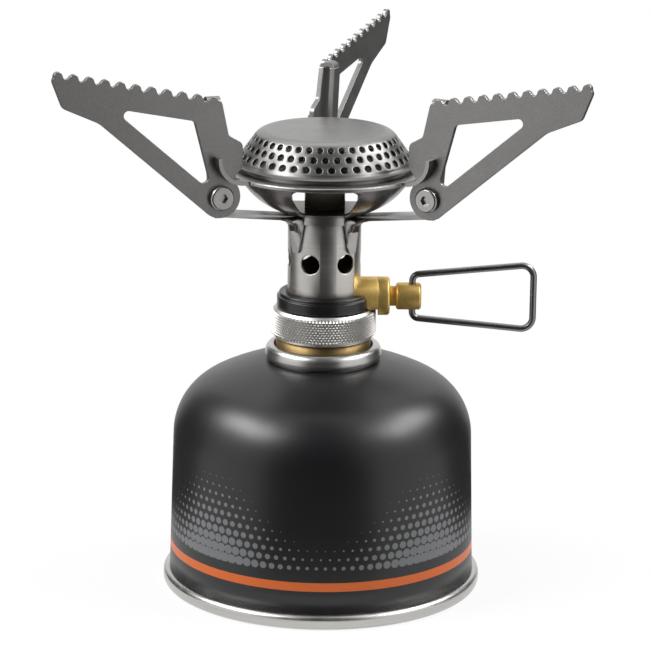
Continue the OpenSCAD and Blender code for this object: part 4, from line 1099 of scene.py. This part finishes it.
def bent_route(corners, steps):
    """Stations (x, z, heading) along straight runs joined by round bends, all to the left."""
    spots = [Vector(c[:2]) for c in corners]
    ways = [(b - a).normalized() for a, b in zip(spots, spots[1:])]
    headings = [math.atan2(w.y, w.x) for w in ways]
    stations = [(*spots[0], headings[0])]
    for k in range(1, len(spots) - 1):
        bend = corners[k][2]
        sweep = (headings[k] - headings[k - 1]) % math.tau
        trim = bend * math.tan(sweep / 2)
        start = spots[k] - ways[k - 1] * trim
        centre = start + bend * Vector((-ways[k - 1].y, ways[k - 1].x))
        for step in range(steps + 1):
            heading = headings[k - 1] + sweep * step / steps
            spot = centre + bend * Vector((math.sin(heading), -math.cos(heading)))
            stations.append((*spot, heading))
    return stations + [(*spots[-1], headings[-1])]


def wire_handle():
    """Bent wire loop with turned-in ends."""
    low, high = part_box("wire_handle")
    wire = (high.y - low.y) / 2
    inner_x = low.x + wire
    outer_x = high.x - wire
    axis = (low.z + high.z) / 2
    outer_half = high.z - axis - wire
    route = bent_route([
        (inner_x, -HANDLE_END_HALF),
        (inner_x, -HANDLE_INNER_HALF, HANDLE_INNER_BEND),
        (outer_x, -outer_half, HANDLE_OUTER_BEND),
        (outer_x, outer_half, HANDLE_OUTER_BEND),
        (inner_x, HANDLE_INNER_HALF, HANDLE_INNER_BEND),
        (inner_x, HANDLE_END_HALF),
    ], HANDLE_BEND_STEPS)
    pin = wire - HANDLE_PIN_STEP
    first, last = route[0], route[-1]
    rings = [((inner_x, -HANDLE_PIN_HALF, first[2]), pin), (first, pin)]
    rings += [(station, wire) for station in route]
    rings += [(last, pin), ((inner_x, HANDLE_PIN_HALF, last[2]), pin)]
    bm = bmesh.new()
    loops = []
    for (x, z, heading), radius in rings:
        loop = []
        for k in range(HANDLE_SIDES):
            turn = math.tau * k / HANDLE_SIDES
            flat = radius * math.cos(turn)
            side = x - flat * math.sin(heading)
            up = axis + z + flat * math.cos(heading)
            loop.append(bm.verts.new((side, radius * math.sin(turn), up)))
        loops.append(loop)
    for near, far in zip(loops, loops[1:]):
        for k in range(HANDLE_SIDES):
            n = (k + 1) % HANDLE_SIDES
            bm.faces.new((near[k], near[n], far[n], far[k]))
    bm.faces.new(loops[0])
    bm.faces.new(reversed(loops[-1]))
    bmesh.ops.recalc_face_normals(bm, faces=bm.faces)
    mesh = mesh_from(bm, "handle_wire", TURNED_SHARP_BEYOND)
    piece("handle_wire", mesh, "handle", "wire_steel", "wire_handle")


# Making

SHEET_EDGE = 0.15 * MM
SMALL_EDGE = 0.12 * MM
HOLE_EDGE = 0.28 * MM

photo_camera()
white_surroundings()
stage()
lamps()
for made in (turned_lines_group(), sheet_grain_group(), smudges_group(), heat_tint_group()):
    GROUPS[made.name] = made
MATERIALS = all_materials()
for name, cad in frame["nodes"].items():
    cad.data.materials.clear()
    cad.data.materials.append(MATERIALS[SLOT_OF[name]])
knurled_ring()
burner_cap()
valve_cup()
wire_handle()
for name in ("pot_arm_right", "pot_arm_rear", "pot_arm_left"):
    dress(name, SHEET_EDGE, flat=True)
for name in ("support_bracket", "burner_bowl"):
    dress(name, flat=True)
for name in ("pivot_screws", "pivot_washers", "pivot_nuts"):
    dress(name, SMALL_EDGE, flat=True)
dress("mixing_tube", HOLE_EDGE)
for name in ("valve_body", "gland_nut", "valve_spindle"):
    dress(name, SMALL_EDGE)
for name in ("canister_shell", "canister_base", "brass_insert", "heat_collar",
             "burner_column", "burner_plate", "flame_diffuser"):
    dress(name)
bpy.context.scene.view_settings.view_transform = "Standard"
